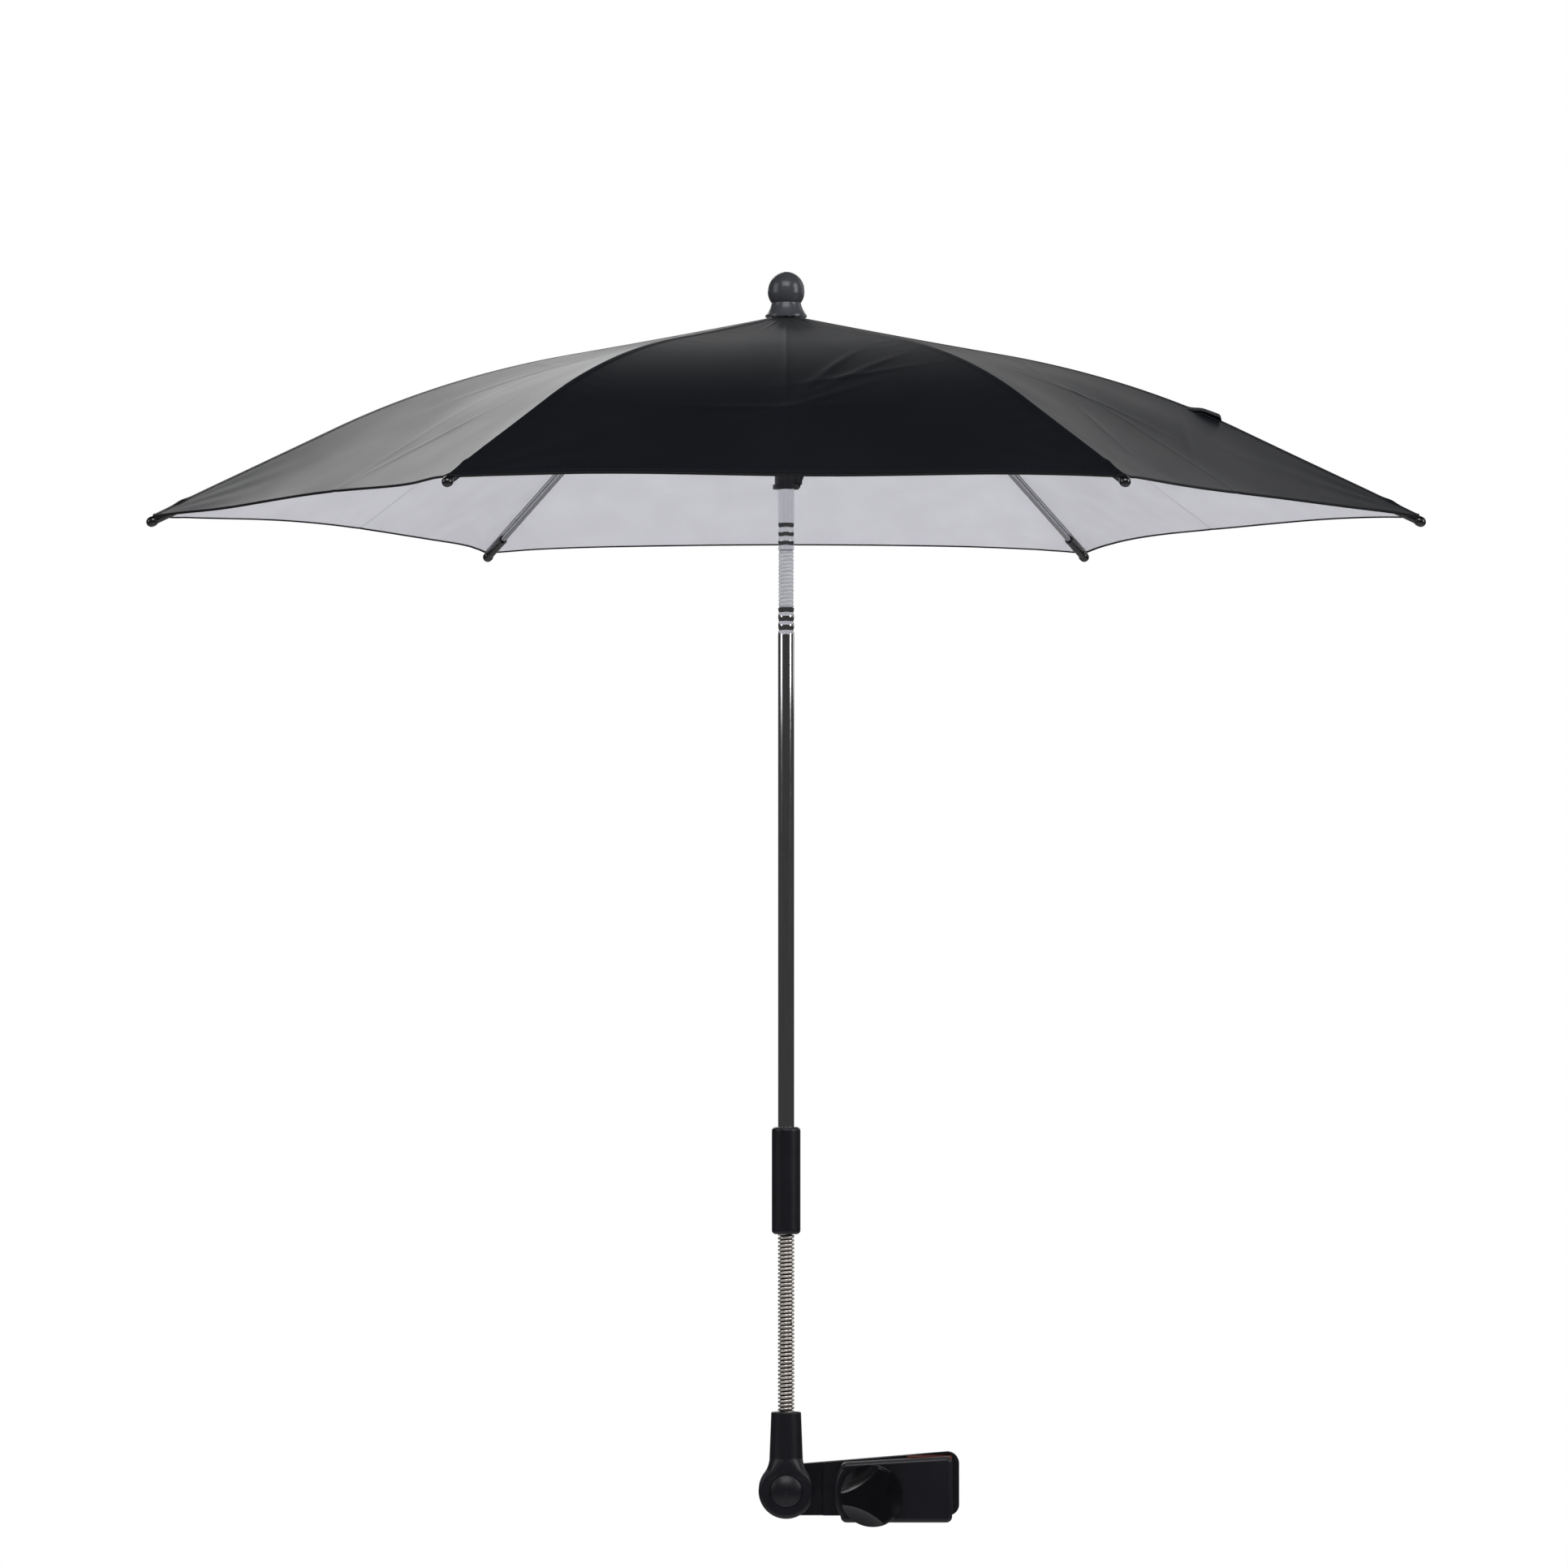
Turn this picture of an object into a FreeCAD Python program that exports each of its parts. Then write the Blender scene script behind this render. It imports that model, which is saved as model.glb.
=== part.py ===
import FreeCAD, Part
import Sketcher
import math
import os

# Pram parasol on a tube clamp. Lengths are millimetres, angles are degrees.
# The origin is the centre of the clamped pram tube, +Z is up and -Y faces the viewer.

SIZES = {
    # clearances
    "run_gap": 0.35,
    "seat_gap": 0.3,
    "fit_gap": 0.1,
    # pram tube and its rubber liners
    "pram_tube_r": 11.0,
    "liner_wall": 2.0,
    "liner_flat": 3.0,
    "liner_half": 12.6,
    "liner_bottom": -13.5,
    "liner_top": 19.6,
    # jaws
    "jaw_wall": 6.0,
    "jaw_travel": 8.0,
    "back_jaw_right": 17.0,
    "back_jaw_top_right": 21.6,
    "back_jaw_top_left": 14.0,
    "back_jaw_bottom": -14.3,
    "back_jaw_step": -60.0,
    "back_jaw_corner": 6.4,
    "front_jaw_left": -50.3,
    "front_jaw_right": 12.6,
    "front_jaw_top": 18.2,
    "front_jaw_rise": 1.6,
    "front_jaw_bottom": -17.2,
    "front_jaw_bulge": 26.0,
    "front_jaw_corner": 3.4,
    "jaw_round": 2.6,
    "guide_x": -45.5,
    "guide_r": 3.0,
    "guide_stay": 2.0,
    # screw and knob
    "screw_x": -33.0,
    "screw_z": -1.8,
    "screw_r": 2.9,
    "screw_head_r": 5.4,
    "screw_head": 3.0,
    "washer_r": 8.5,
    "washer_wall": 1.2,
    "knob_r": 17.5,
    "knob_depth": 15.0,
    "knob_edge": 2.0,
    "knob_cap": 2.0,
    "scallop_r": 40.0,
    "scallop_out": 46.0,
    "scallop_ahead": 14.7,
    "scallop_turn": 5.0,
    "nut_r": 5.6,
    "nut_depth": 5.0,
    # knuckle
    "disc_r": 15.6,
    "disc_front": 9.6,
    "disc_back": 8.0,
    "hub_wall": 12.0,
    "hub_spare": 0.9,
    "neck_top": 44.6,
    "neck_r": 8.5,
    "neck_root": 12.0,
    "neck_root_r": 9.7,
    "neck_edge": 1.0,
    "disc_edge": 2.5,
    "flare_r": 16.0,
    "flare_low": 5.5,
    "web_front": 1.0,
    "web_back": 1.5,
    "pin_r": 2.5,
    "pin_head_r": 4.6,
    "pin_head": 2.4,
    "pin_rivet": 0.6,
    "button_r": 8.9,
    "button_dome": 2.6,
    "button_proud": 0.6,
    "button_skirt": 4.6,
    "button_recess": 3.0,
    "button_recess_r": 5.2,
    "button_travel": 3.4,
    "leg_out": 6.6,
    "leg_r": 1.0,
    "gear_r": 10.0,
    "gear_wall": 7.0,
    "gear_grip": 3.0,
    "gear_pocket_r": 5.9,
    "gear_pocket": 3.4,
    "button_coil_r": 4.6,
    "button_wire_r": 0.4,
    "button_pitch": 1.6,
    # bendable neck
    "shaft_x": -81.0,
    "neck_coil_r": 3.85,
    "neck_wire_r": 0.85,
    "neck_pitch": 2.2,
    "neck_seat": 7.5,
    # grip and tube
    "neck_show": 100.3,
    "grip_length": 60.7,
    "grip_r": 8.15,
    "grip_edge": 2.3,
    "tube_r": 4.6,
    "tube_wall": 0.8,
    "lower_tube_length": 347.3,
    "upper_tube_length": 139.0,
    "bead_step": 5.1,
    "bead_depth": 0.45,
    # tilt joint
    "tilt_gap": 33.0,
    "tilt_coil_r": 3.6,
    "tilt_wire_r": 0.8,
    "tilt_pitch": 2.15,
    "plug_depth": 16.0,
    "plug_stub": 8.0,
    "plug_nose": 0.6,
    # crown, finial and runner
    "crown_down": 11.2,
    "ring_r": 9.0,
    "ring_wire_r": 0.6,
    "eye_r": 1.8,
    "crown_r": 13.0,
    "crown_below": 7.0,
    "crown_above": 1.6,
    "crown_sleeve_r": 6.6,
    "crown_sleeve": 8.0,
    "notch_floor_r": 6.9,
    "finial_base_r": 11.8,
    "finial_rim": 1.2,
    "finial_neck_r": 8.4,
    "finial_neck": 8.2,
    "finial_sweep": 16.0,
    "finial_ball_r": 10.4,
    "finial_rise": 26.0,
    "finial_bore": 8.0,
    "runner_r": 12.6,
    "runner_above": 3.4,
    "runner_below": 5.0,
    "runner_sleeve_r": 6.5,
    "runner_drop": 17.4,
    "runner_flange_r": 7.6,
    "runner_flange": 2.4,
    # catch on the runner
    "catch_out": 10.6,
    "catch_low_out": 7.8,
    "catch_half": 2.0,
    "catch_pin_out": 7.3,
    "catch_pin_drop": 12.4,
    "catch_pin_r": 0.7,
    "catch_rise": 5.2,
    "catch_drop": 4.4,
    "catch_nose": 1.2,
    "catch_spine": 1.2,
    "catch_arm": 1.3,
    "catch_arm_low": 2.4,
    "catch_lean": 1.4,
    "catch_bevel": 0.6,
    "catch_cheek": 1.6,
    "catch_cheek_half": 2.2,
    "catch_cheek_rim": 1.8,
    "catch_wall": 0.65,
    "catch_coil_up": 3.6,
    "catch_coil_r": 1.0,
    "catch_wire_r": 0.22,
    "catch_pitch": 0.9,
    # ribs, seen in the plane of one rib
    "rib_r": 1.6,
    "rib_corner_out": 194.3,
    "rib_corner_drop": 32.7,
    "rib_end_out": 345.0,
    "rib_end_drop": 104.4,
    "rib_bend_r": 536.0,
    # clips and stretchers
    "clip_slope": 16.45,
    "clip_drop": 4.2,
    "clip_length": 7.0,
    "clip_wall": 0.9,
    "clip_rise": 0.9,
    "strut_r": 1.2,
    "rivet_r": 0.75,
    # rib tips
    "tip_grip": 4.0,
    "tip_length": 24.6,
    "tip_r": 2.4,
    "tip_lip_r": 2.6,
    "tip_lip": 1.2,
    "tip_ball_r": 2.95,
    # canopy
    "cloth": 0.8,
    "cloth_gap": 1.95,
    "seam_gap": 0.16,
    "gore_bend_r": 395.0,
    "gore_sweep_r": 1150.0,
    "gore_inner_out": 7.6,
    "hem_on_tip": 15.6,
    "hem_arch_r": 790.0,
    # closing strap
    "strap_start_out": 229.0,
    "strap_length": 17.6,
    "strap_half": 6.0,
    "strap_wall": 2.0,
    "strap_lift": 2.2,
}

RIBS = 6
# How far each section of the flare stands out of the neck and the disc; its two ends are sunk in.
FLARE_PROUD = (-0.25, 0.1, 0.2, 0.2, -0.4)
# How far up the neck's taper the flare ends, how nearly round its top section is,
# and how soon its front comes level with the disc's.
FLARE_NECK_SHARE = 0.22
FLARE_FULLNESS = 0.995
FLARE_FLUSH = 2.2
KNOB_LOBES = 3
LOCK_SQUARES = 6
BUTTON_LEGS = 3
BEADS = 3

doc = FreeCAD.newDocument("pram_parasol")
sheet = doc.addObject("Spreadsheet::Sheet", "Sizes")
for row, (name, number) in enumerate(SIZES.items(), start=1):
    sheet.set(f"A{row}", name)
    sheet.set(f"B{row}", str(number))
    sheet.setAlias(f"B{row}", name)
doc.recompute()

nodes = []


def derive(name, number):
    """Put a size that follows from the others on the sheet, under its own name."""
    row = len(SIZES) + 1
    SIZES[name] = number
    sheet.set(f"A{row}", name)
    sheet.set(f"B{row}", str(number))
    sheet.setAlias(f"B{row}", name)
    doc.recompute()


def size(words):
    """The number that a sum of products of size names comes to."""
    total = 0.0
    for term in words.replace("- ", "+ -1 * ").split("+ "):
        if not term.strip():
            continue
        product = 1.0
        for word in term.split("*"):
            word = word.strip()
            product *= float(sheet.get(word)) if word in SIZES else float(word)
        total += product
    return total


def bound(words):
    """The same sum as an expression on the sheet."""
    return " ".join("Sizes." + word if word in SIZES else word for word in words.split())


def put(thing, x="0", y="0", z="0", turn=None):
    """Place an object at a point given by size names, turned by a rotation."""
    thing.Placement = FreeCAD.Placement(FreeCAD.Vector(), turn or FreeCAD.Rotation())
    for axis, words in (("x", x), ("y", y), ("z", z)):
        thing.setExpression(f"Placement.Base.{axis}", bound(words))
    return thing


def about(axis, degrees):
    return FreeCAD.Rotation(FreeCAD.Vector(*axis), degrees)


ALONG_X = about((0, 1, 0), 90)
ALONG_Y = about((1, 0, 0), -90)
TO_VIEWER = about((1, 0, 0), 90)


def block(kind, name, x="0", y="0", z="0", turn=None, **sizes):
    """A Part primitive whose sizes and place are bound to the sheet."""
    thing = doc.addObject("Part::" + kind, name)
    for size_name, words in sizes.items():
        thing.setExpression(size_name, bound(words))
    return put(thing, x, y, z, turn)


def fused(name, pieces):
    thing = doc.addObject("Part::MultiFuse", name)
    thing.Shapes = pieces
    return thing


def cut(name, base, tools):
    thing = doc.addObject("Part::Cut", name)
    thing.Base = base
    thing.Tool = tools[0] if len(tools) == 1 else fused(name + "_tools", tools)
    return thing


def common(name, base, tool):
    thing = doc.addObject("Part::Common", name)
    thing.Base = base
    thing.Tool = tool
    return thing


def node(thing, name):
    """Mark an object as a finished piece under its node name."""
    thing.Label = name
    nodes.append(thing)
    return thing


def new_body(name):
    return doc.addObject("PartDesign::Body", name)


def new_sketch(body, name, plane):
    sketch = body.newObject("Sketcher::SketchObject", name)
    face = [part for part in body.Origin.OriginFeatures if part.Role == plane][0]
    sketch.AttachmentSupport = [(face, "")]
    sketch.MapMode = "FlatFace"
    return sketch


def pin_point(sketch, edge, end, x, y):
    """Hold one end of a sketch edge at a point given by size names."""
    for kind, words, axis in (("DistanceX", x, -2), ("DistanceY", y, -1)):
        number = size(words)
        if number == 0:
            sketch.addConstraint(Sketcher.Constraint("PointOnObject", edge, end, axis))
        elif number > 0:
            held = sketch.addConstraint(Sketcher.Constraint(kind, -1, 1, edge, end, number))
            sketch.setExpression(f"Constraints[{held}]", bound(words))
        else:
            held = sketch.addConstraint(Sketcher.Constraint(kind, edge, end, -1, 1, -number))
            sketch.setExpression(f"Constraints[{held}]", f"-({bound(words)})")


def draw_outline(sketch, corners):
    """Draw a closed outline. A corner is (x, y), or (x, y, radius, side) where an arc leads to it.

    side is 1 for an arc that turns left on its way to the corner and -1 for one that turns right.
    """
    spots = [FreeCAD.Vector(size(c[0]), size(c[1]), 0) for c in corners]
    ends = []
    for number, corner in enumerate(corners):
        start, stop = spots[number - 1], spots[number]
        if len(corner) == 2:
            sketch.addGeometry(Part.LineSegment(start, stop), False)
            ends.append((1, 2))
            continue
        radius, side = size(corner[2]), corner[3]
        chord = stop - start
        left = FreeCAD.Vector(-chord.y, chord.x, 0).normalize()
        reach = math.sqrt(max(radius**2 - (chord.Length / 2) ** 2, 0))
        centre = (start + stop) * 0.5 + left * (reach * side)
        first, last = (start, stop) if side > 0 else (stop, start)
        turn = [math.atan2(p.y - centre.y, p.x - centre.x) for p in (first, last)]
        circle = Part.Circle(centre, FreeCAD.Vector(0, 0, 1), radius)
        sketch.addGeometry(Part.ArcOfCircle(circle, turn[0], turn[1]), False)
        ends.append((1, 2) if side > 0 else (2, 1))
    for number, corner in enumerate(corners):
        after = (number + 1) % len(corners)
        sketch.addConstraint(
            Sketcher.Constraint("Coincident", number, ends[number][1], after, ends[after][0])
        )
    for number, corner in enumerate(corners):
        pin_point(sketch, number, ends[number][1], corner[0], corner[1])
        if len(corner) == 4:
            held = sketch.addConstraint(Sketcher.Constraint("Radius", number, size(corner[2])))
            sketch.setExpression(f"Constraints[{held}]", bound(corner[2]))


def revolved(name, corners):
    """A body turned about Z from an outline in radius and height."""
    body = new_body(name)
    sketch = new_sketch(body, name + "_outline", "XZ_Plane")
    draw_outline(sketch, corners)
    turned = body.newObject("PartDesign::Revolution", name + "_turned")
    turned.Profile = sketch
    turned.ReferenceAxis = (sketch, ["V_Axis"])
    turned.Angle = 360
    return body


def padded(name, plane, corners, length, symmetric=False):
    """A body pushed out of an outline on one of its origin planes."""
    body = new_body(name)
    sketch = new_sketch(body, name + "_outline", plane)
    draw_outline(sketch, corners)
    pad = body.newObject("PartDesign::Pad", name + "_pad")
    pad.Profile = sketch
    pad.setExpression("Length", bound(length))
    if symmetric:
        pad.SideType = "Symmetric"
    return body


def helix_edges(radius, pitch, turns):
    """A helix about Z as pairs of tangent arcs, two pairs to a turn, and its start direction."""
    step = math.pi
    count = int(round(turns * 2 * math.pi / step))
    rise = pitch / (2 * math.pi)

    def spot(angle):
        return FreeCAD.Vector(radius * math.cos(angle), radius * math.sin(angle), rise * angle)

    def heading(angle):
        flow = FreeCAD.Vector(-radius * math.sin(angle), radius * math.cos(angle), rise)
        return flow.normalize()

    edges = []
    for number in range(count):
        begin, end = number * step, (number + 1) * step
        way, flow, leave = spot(end) - spot(begin), heading(begin), heading(end)
        both = flow + leave
        spread = 2 * (1 - flow.dot(leave))
        reach = (-way.dot(both) + math.sqrt(way.dot(both) ** 2 + spread * way.dot(way))) / spread
        first, second = spot(begin) + flow * reach, spot(end) - leave * reach
        middle = (first + second) * 0.5
        for left, corner, right in ((spot(begin), first, middle), (middle, second, spot(end))):
            half = (left + right) * 0.5
            rise_to_corner = (corner - half).Length
            half_angle = math.asin(min(rise_to_corner / reach, 1.0))
            sagitta = reach / math.tan(half_angle) * (1 - math.cos(half_angle))
            top = half + (corner - half) * (sagitta / rise_to_corner)
            edges.append(Part.Arc(left, top, right).toShape())
    return edges, heading(0.0)


def coil(name, radius, wire, pitch, length):
    """A wound spring about Z as one unbroken tube, with its least gap to itself printed."""
    turns = math.floor(2 * size(length) / size(pitch)) / 2
    edges, heading = helix_edges(size(radius), size(pitch), turns)
    start = FreeCAD.Vector(size(radius), 0, 0)
    ring = Part.Wire([Part.makeCircle(size(wire), start, heading)])
    thing = doc.addObject("Part::Feature", name)
    thing.Shape = Part.Wire(edges).makePipeShell([ring], True, False)
    points = [spot for edge in edges for spot in edge.discretize(9)[:-1]]
    per_turn = 32
    gaps = [
        (points[one] - points[one + ahead]).Length
        for one in range(len(points))
        for ahead in range(per_turn // 2, per_turn + per_turn // 2 + 1)
        if one + ahead < len(points)
    ]
    print(name, "turns", turns, "least gap", round(min(gaps) - 2 * size(wire), 3))
    return thing


# Heights that follow from the pieces that stand on each other
derive("grip_bottom", size("neck_top + neck_show"))
derive("grip_top", size("grip_bottom + grip_length"))
derive("lower_tube_bottom", size("grip_bottom + neck_seat + seat_gap"))
derive("tilt_bottom", size("lower_tube_bottom + lower_tube_length"))
derive("tilt_top", size("tilt_bottom + tilt_gap"))
derive("tube_top", size("tilt_top + upper_tube_length"))
derive("pivot_z", size("tube_top - crown_down"))
derive("rib_corner_z", size("pivot_z - rib_corner_drop"))
derive("rib_end_z", size("pivot_z - rib_end_drop"))
derive("tip_start_out", size("rib_end_out - tip_grip"))
derive("hem_corner_out", size("tip_start_out + hem_on_tip"))

# Sizes that follow from the rib's bend
# The rib runs straight from its pivot, bends on one large arc and runs straight to its tip.
inner_slope = math.atan2(
    size("pivot_z - rib_corner_z"), size("rib_corner_out - ring_r")
)
outer_slope = math.atan2(
    size("rib_corner_z - rib_end_z"), size("rib_end_out - rib_corner_out")
)
tangent = size("rib_bend_r") * math.tan((outer_slope - inner_slope) / 2)
bend_out = size("rib_corner_out") - tangent * math.cos(inner_slope)
bend_z = size("rib_corner_z") + tangent * math.sin(inner_slope)
bend_centre_out = bend_out - size("rib_bend_r") * math.sin(inner_slope)
bend_centre_z = bend_z - size("rib_bend_r") * math.cos(inner_slope)
clip_angle = math.radians(size("clip_slope"))
derive("clip_out", bend_centre_out + size("rib_bend_r") * math.sin(clip_angle))
derive("clip_z", bend_centre_z + size("rib_bend_r") * math.cos(clip_angle))
derive("knee_out", size("clip_out") - size("clip_drop") * math.sin(clip_angle))
derive("knee_z", size("clip_z") - size("clip_drop") * math.cos(clip_angle))
# The strut is as long as the rib from pivot to knee, so the runner stays on its ring radius.
derive("strut_length", math.hypot(size("knee_out - ring_r"), size("pivot_z - knee_z")))
derive("runner_z", size("2 * knee_z - pivot_z"))
strut_slope = math.degrees(math.atan2(size("pivot_z - knee_z"), size("knee_out - ring_r")))
derive("tip_start_z", size("rib_end_z") + size("rib_end_out - tip_start_out") * math.tan(outer_slope))
derive("jaw_depth", size("pram_tube_r + liner_wall + jaw_wall - liner_flat - liner_wall"))
derive("jaw_face", size("liner_flat + liner_wall"))
derive("liner_r", size("pram_tube_r + liner_wall"))
# The flare's side is an arc that touches the neck and the disc.
flare_neck = size("neck_root_r") - size("neck_root_r - neck_r") * FLARE_NECK_SHARE
flare_centre = flare_neck + size("flare_r")
flare_touch = math.sqrt(size("disc_r + flare_r") ** 2 - flare_centre**2)
flare_meet = flare_touch * size("disc_r") / size("disc_r + flare_r")
for number, proud in enumerate(FLARE_PROUD):
    share = number / (len(FLARE_PROUD) - 1)
    up = flare_touch + (size("flare_low") - flare_touch) * share
    if up > flare_meet:
        half = flare_centre - math.sqrt(size("flare_r") ** 2 - (flare_touch - up) ** 2)
    else:
        half = math.sqrt(size("disc_r") ** 2 - up**2)
    derive(f"flare_up_{number}", up)
    derive(f"flare_half_{number}", half + proud)
    flush = min(1.0, FLARE_FLUSH * share)
    derive(f"flare_front_{number}", flare_neck + (size("neck_root_r") - flare_neck) * flush + proud)
    bend = FLARE_FULLNESS * size("flare_half_0") * (1 - share)
    derive(f"flare_round_{number}", bend + size("disc_edge") * share)
derive("hub_front", size("disc_back + seat_gap"))
derive("hub_pocket", size("gear_wall - gear_grip - seat_gap + button_travel + hub_spare"))
derive("guide_depth", size("jaw_travel + guide_stay"))
derive("gore_share", math.cos(math.pi / RIBS))
derive("gore_side", math.sin(math.pi / RIBS))
derive("finial_z", size("pivot_z + rib_r + cloth_gap + cloth + seat_gap"))
derive("knob_back", size("jaw_face + jaw_depth + washer_wall + seat_gap"))
derive(
    "dome_r",
    (size("button_r") ** 2 + size("button_dome") ** 2) / (2 * size("button_dome")),
)
derive("button_coil_start", size("disc_back - gear_grip + gear_wall - gear_pocket + button_wire_r + fit_gap"))
derive(
    "button_coil_length",
    size("hub_front + hub_pocket - button_coil_start - button_wire_r - fit_gap"),
)
derive("bead_arc", (size("bead_step") ** 2 / 4 + size("bead_depth") ** 2) / size("2 * bead_depth"))
derive("neck_start", size("neck_top - neck_seat + neck_wire_r + fit_gap"))
derive("neck_length", size("grip_bottom + neck_seat - neck_start - neck_wire_r - fit_gap"))
derive("tilt_start", size("tilt_bottom + tilt_wire_r + seat_gap"))
derive("tilt_length", size("tilt_top - tilt_wire_r - seat_gap - tilt_start"))
derive("rib_slot_half", size("rib_r + seat_gap"))
derive("strut_slot_half", size("strut_r + seat_gap"))
derive("catch_seat_out", size("tube_r + run_gap + catch_wall"))
derive("catch_coil_start", size("catch_seat_out + catch_wire_r + fit_gap"))
derive("catch_coil_length", size("catch_pin_out + catch_arm - catch_wire_r - fit_gap - catch_coil_start"))
derive("tip_bore", size("rib_end_out - tip_start_out") / math.cos(outer_slope) + size("seat_gap"))
# A gore sags between its ribs: its profile swings about a level axis high above the canopy.
derive("gore_axis_z", size("pivot_z + gore_sweep_r"))
derive("gore_end_out", size("tip_start_out + tip_length"))
gore_end_z = size("rib_end_z") - size("gore_end_out - rib_end_out") * math.tan(outer_slope)
for spot, out, high in (
    ("start", size("ring_r"), size("pivot_z")),
    ("corner", size("rib_corner_out"), size("rib_corner_z")),
    ("end", size("gore_end_out"), gore_end_z),
):
    for side, lift in (("under", size("rib_r + cloth_gap")), ("over", size("rib_r + cloth_gap + cloth"))):
        swing = math.hypot(size("gore_axis_z") - high - lift, size("gore_side") * out)
        derive(f"gore_{spot}_{side}", swing)
gore_angle = 2 * math.degrees(math.asin(size("gore_side * gore_end_out") / size("gore_sweep_r")))
strap_start = size("strap_start_out") - bend_centre_out
strap_middle = strap_start + size("0.5 * strap_length")
strap_slope = math.asin(strap_middle / size("rib_bend_r"))
derive("strap_z", bend_centre_z + math.sqrt(size("rib_bend_r") ** 2 - strap_start**2))

# Clamp, fixed half
# The back jaw, its arm and the hub plate of the knuckle are one moulding.
back_plate = padded(
    "back_jaw_plate",
    "XZ_Plane",
    [
        ("shaft_x", "back_jaw_bottom"),
        ("back_jaw_right - back_jaw_corner", "back_jaw_bottom"),
        ("back_jaw_right", "back_jaw_bottom + back_jaw_corner", "back_jaw_corner", 1),
        ("back_jaw_right", "back_jaw_top_right - back_jaw_corner"),
        ("back_jaw_right - back_jaw_corner", "back_jaw_top_right", "back_jaw_corner", 1),
        ("shaft_x", "back_jaw_top_left"),
    ],
    "jaw_depth",
)
put(back_plate, y="jaw_face + jaw_depth")
hub_plate = block(
    "Cylinder", "hub_plate", "shaft_x", "hub_front", "0", ALONG_Y,
    Radius="disc_r", Height="hub_wall",
)
guide_post = block(
    "Cylinder", "guide_post", "guide_x", "jaw_face + 1", "screw_z", TO_VIEWER,
    Radius="guide_r", Height="2 * jaw_face + guide_depth + 1",
)
back_blank = fused("back_jaw_blank", [back_plate, hub_plate, guide_post])
arm_step = block(
    "Box", "arm_step", "shaft_x - disc_r - 2", "jaw_face - 1", "- disc_r - 2",
    Length="back_jaw_step - shaft_x + disc_r + 2", Width="hub_front - jaw_face + 1", Height="2 * disc_r + 14",
)
back_recess = block(
    "Cylinder", "back_recess", "0", "0", "back_jaw_bottom - 2",
    Radius="liner_r", Height="back_jaw_top_right - back_jaw_bottom + 4",
)
back_screw_hole = block(
    "Cylinder", "back_screw_hole", "screw_x", "0", "screw_z", ALONG_Y,
    Radius="screw_r + fit_gap", Height="jaw_face + jaw_depth + 2",
)
hub_pin_hole = block(
    "Cylinder", "hub_pin_hole", "shaft_x", "hub_front", "0", ALONG_Y,
    Radius="pin_r + fit_gap", Height="hub_wall + 2",
)


def lock_star(name, reach, front, depth):
    """The serrated outline of the lock: squares turned about the knuckle's axis."""
    squares = []
    for number in range(LOCK_SQUARES):
        half = size(reach) / math.sqrt(2)
        square = doc.addObject("Part::Box", f"{name}_square_{number}")
        square.setExpression("Length", f"({bound(reach)}) * sqrt(2)")
        square.setExpression("Width", bound(depth))
        square.setExpression("Height", f"({bound(reach)}) * sqrt(2)")
        turn = about((0, 1, 0), number * 90.0 / LOCK_SQUARES)
        corner = turn.multVec(FreeCAD.Vector(-half, 0, -half))
        square.Placement = FreeCAD.Placement(corner, turn)
        squares.append(square)
    star = fused(name, squares)
    return put(star, "shaft_x", front, "0")


hub_star = lock_star("hub_star", "gear_r + fit_gap", "hub_front - 1", "hub_pocket + 1")
back_jaw = cut(
    "clamp_back_jaw", back_blank, [arm_step, back_recess, back_screw_hole, hub_pin_hole, hub_star]
)
node(back_jaw, "clamp_back_jaw")


def liner(name, side):
    """A rubber liner: half a sleeve with two flat lips. side is 1 behind the tube and -1 in front."""
    sleeve = block(
        "Cylinder", name + "_sleeve", "0", "0", "liner_bottom",
        Radius="liner_r", Height="liner_top - liner_bottom",
    )
    lips_y = "liner_flat" if side > 0 else "- liner_flat - liner_wall"
    lips = block(
        "Box", name + "_lips", "- liner_half", lips_y, "liner_bottom",
        Length="2 * liner_half", Width="liner_wall", Height="liner_top - liner_bottom",
    )
    bore = block(
        "Cylinder", name + "_bore", "0", "0", "liner_bottom - 1",
        Radius="pram_tube_r", Height="liner_top - liner_bottom + 2",
    )
    half_y = "liner_flat - 2 * liner_r" if side > 0 else "- liner_flat"
    half = block(
        "Box", name + "_half", "- 2 * liner_r", half_y, "liner_bottom - 1",
        Length="4 * liner_r", Width="2 * liner_r", Height="liner_top - liner_bottom + 2",
    )
    return node(cut(name, fused(name + "_blank", [sleeve, lips]), [bore, half]), name)


liner("back_jaw_pad", 1)

screw_head = block(
    "Prism", "screw_head", "screw_x", "jaw_face + jaw_depth", "screw_z", ALONG_Y,
    Circumradius="screw_head_r", Height="screw_head",
)
screw_shank = block(
    "Cylinder", "screw_shank", "screw_x", "jaw_face + jaw_depth", "screw_z", TO_VIEWER,
    Radius="screw_r", Height="2 * jaw_face + 2 * jaw_depth + washer_wall + knob_depth - knob_cap",
)
node(fused("clamp_screw", [screw_head, screw_shank]), "clamp_screw")

pin_shank = block(
    "Cylinder", "pin_shank", "shaft_x", "- web_front - seat_gap", "0", ALONG_Y,
    Radius="pin_r", Height="hub_front + hub_wall + web_front + seat_gap",
)
pin_front_head = block(
    "Cylinder", "pin_front_head", "shaft_x", "- web_front - seat_gap", "0", TO_VIEWER,
    Radius="pin_head_r", Height="pin_head",
)
pin_back_head = block(
    "Cone", "pin_back_head", "shaft_x", "hub_front + hub_wall", "0", ALONG_Y,
    Radius1="pin_head_r + pin_rivet", Radius2="pin_r + pin_rivet", Height="pin_head",
)
node(fused("knuckle_pin", [pin_shank, pin_front_head, pin_back_head]), "knuckle_pin")

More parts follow.
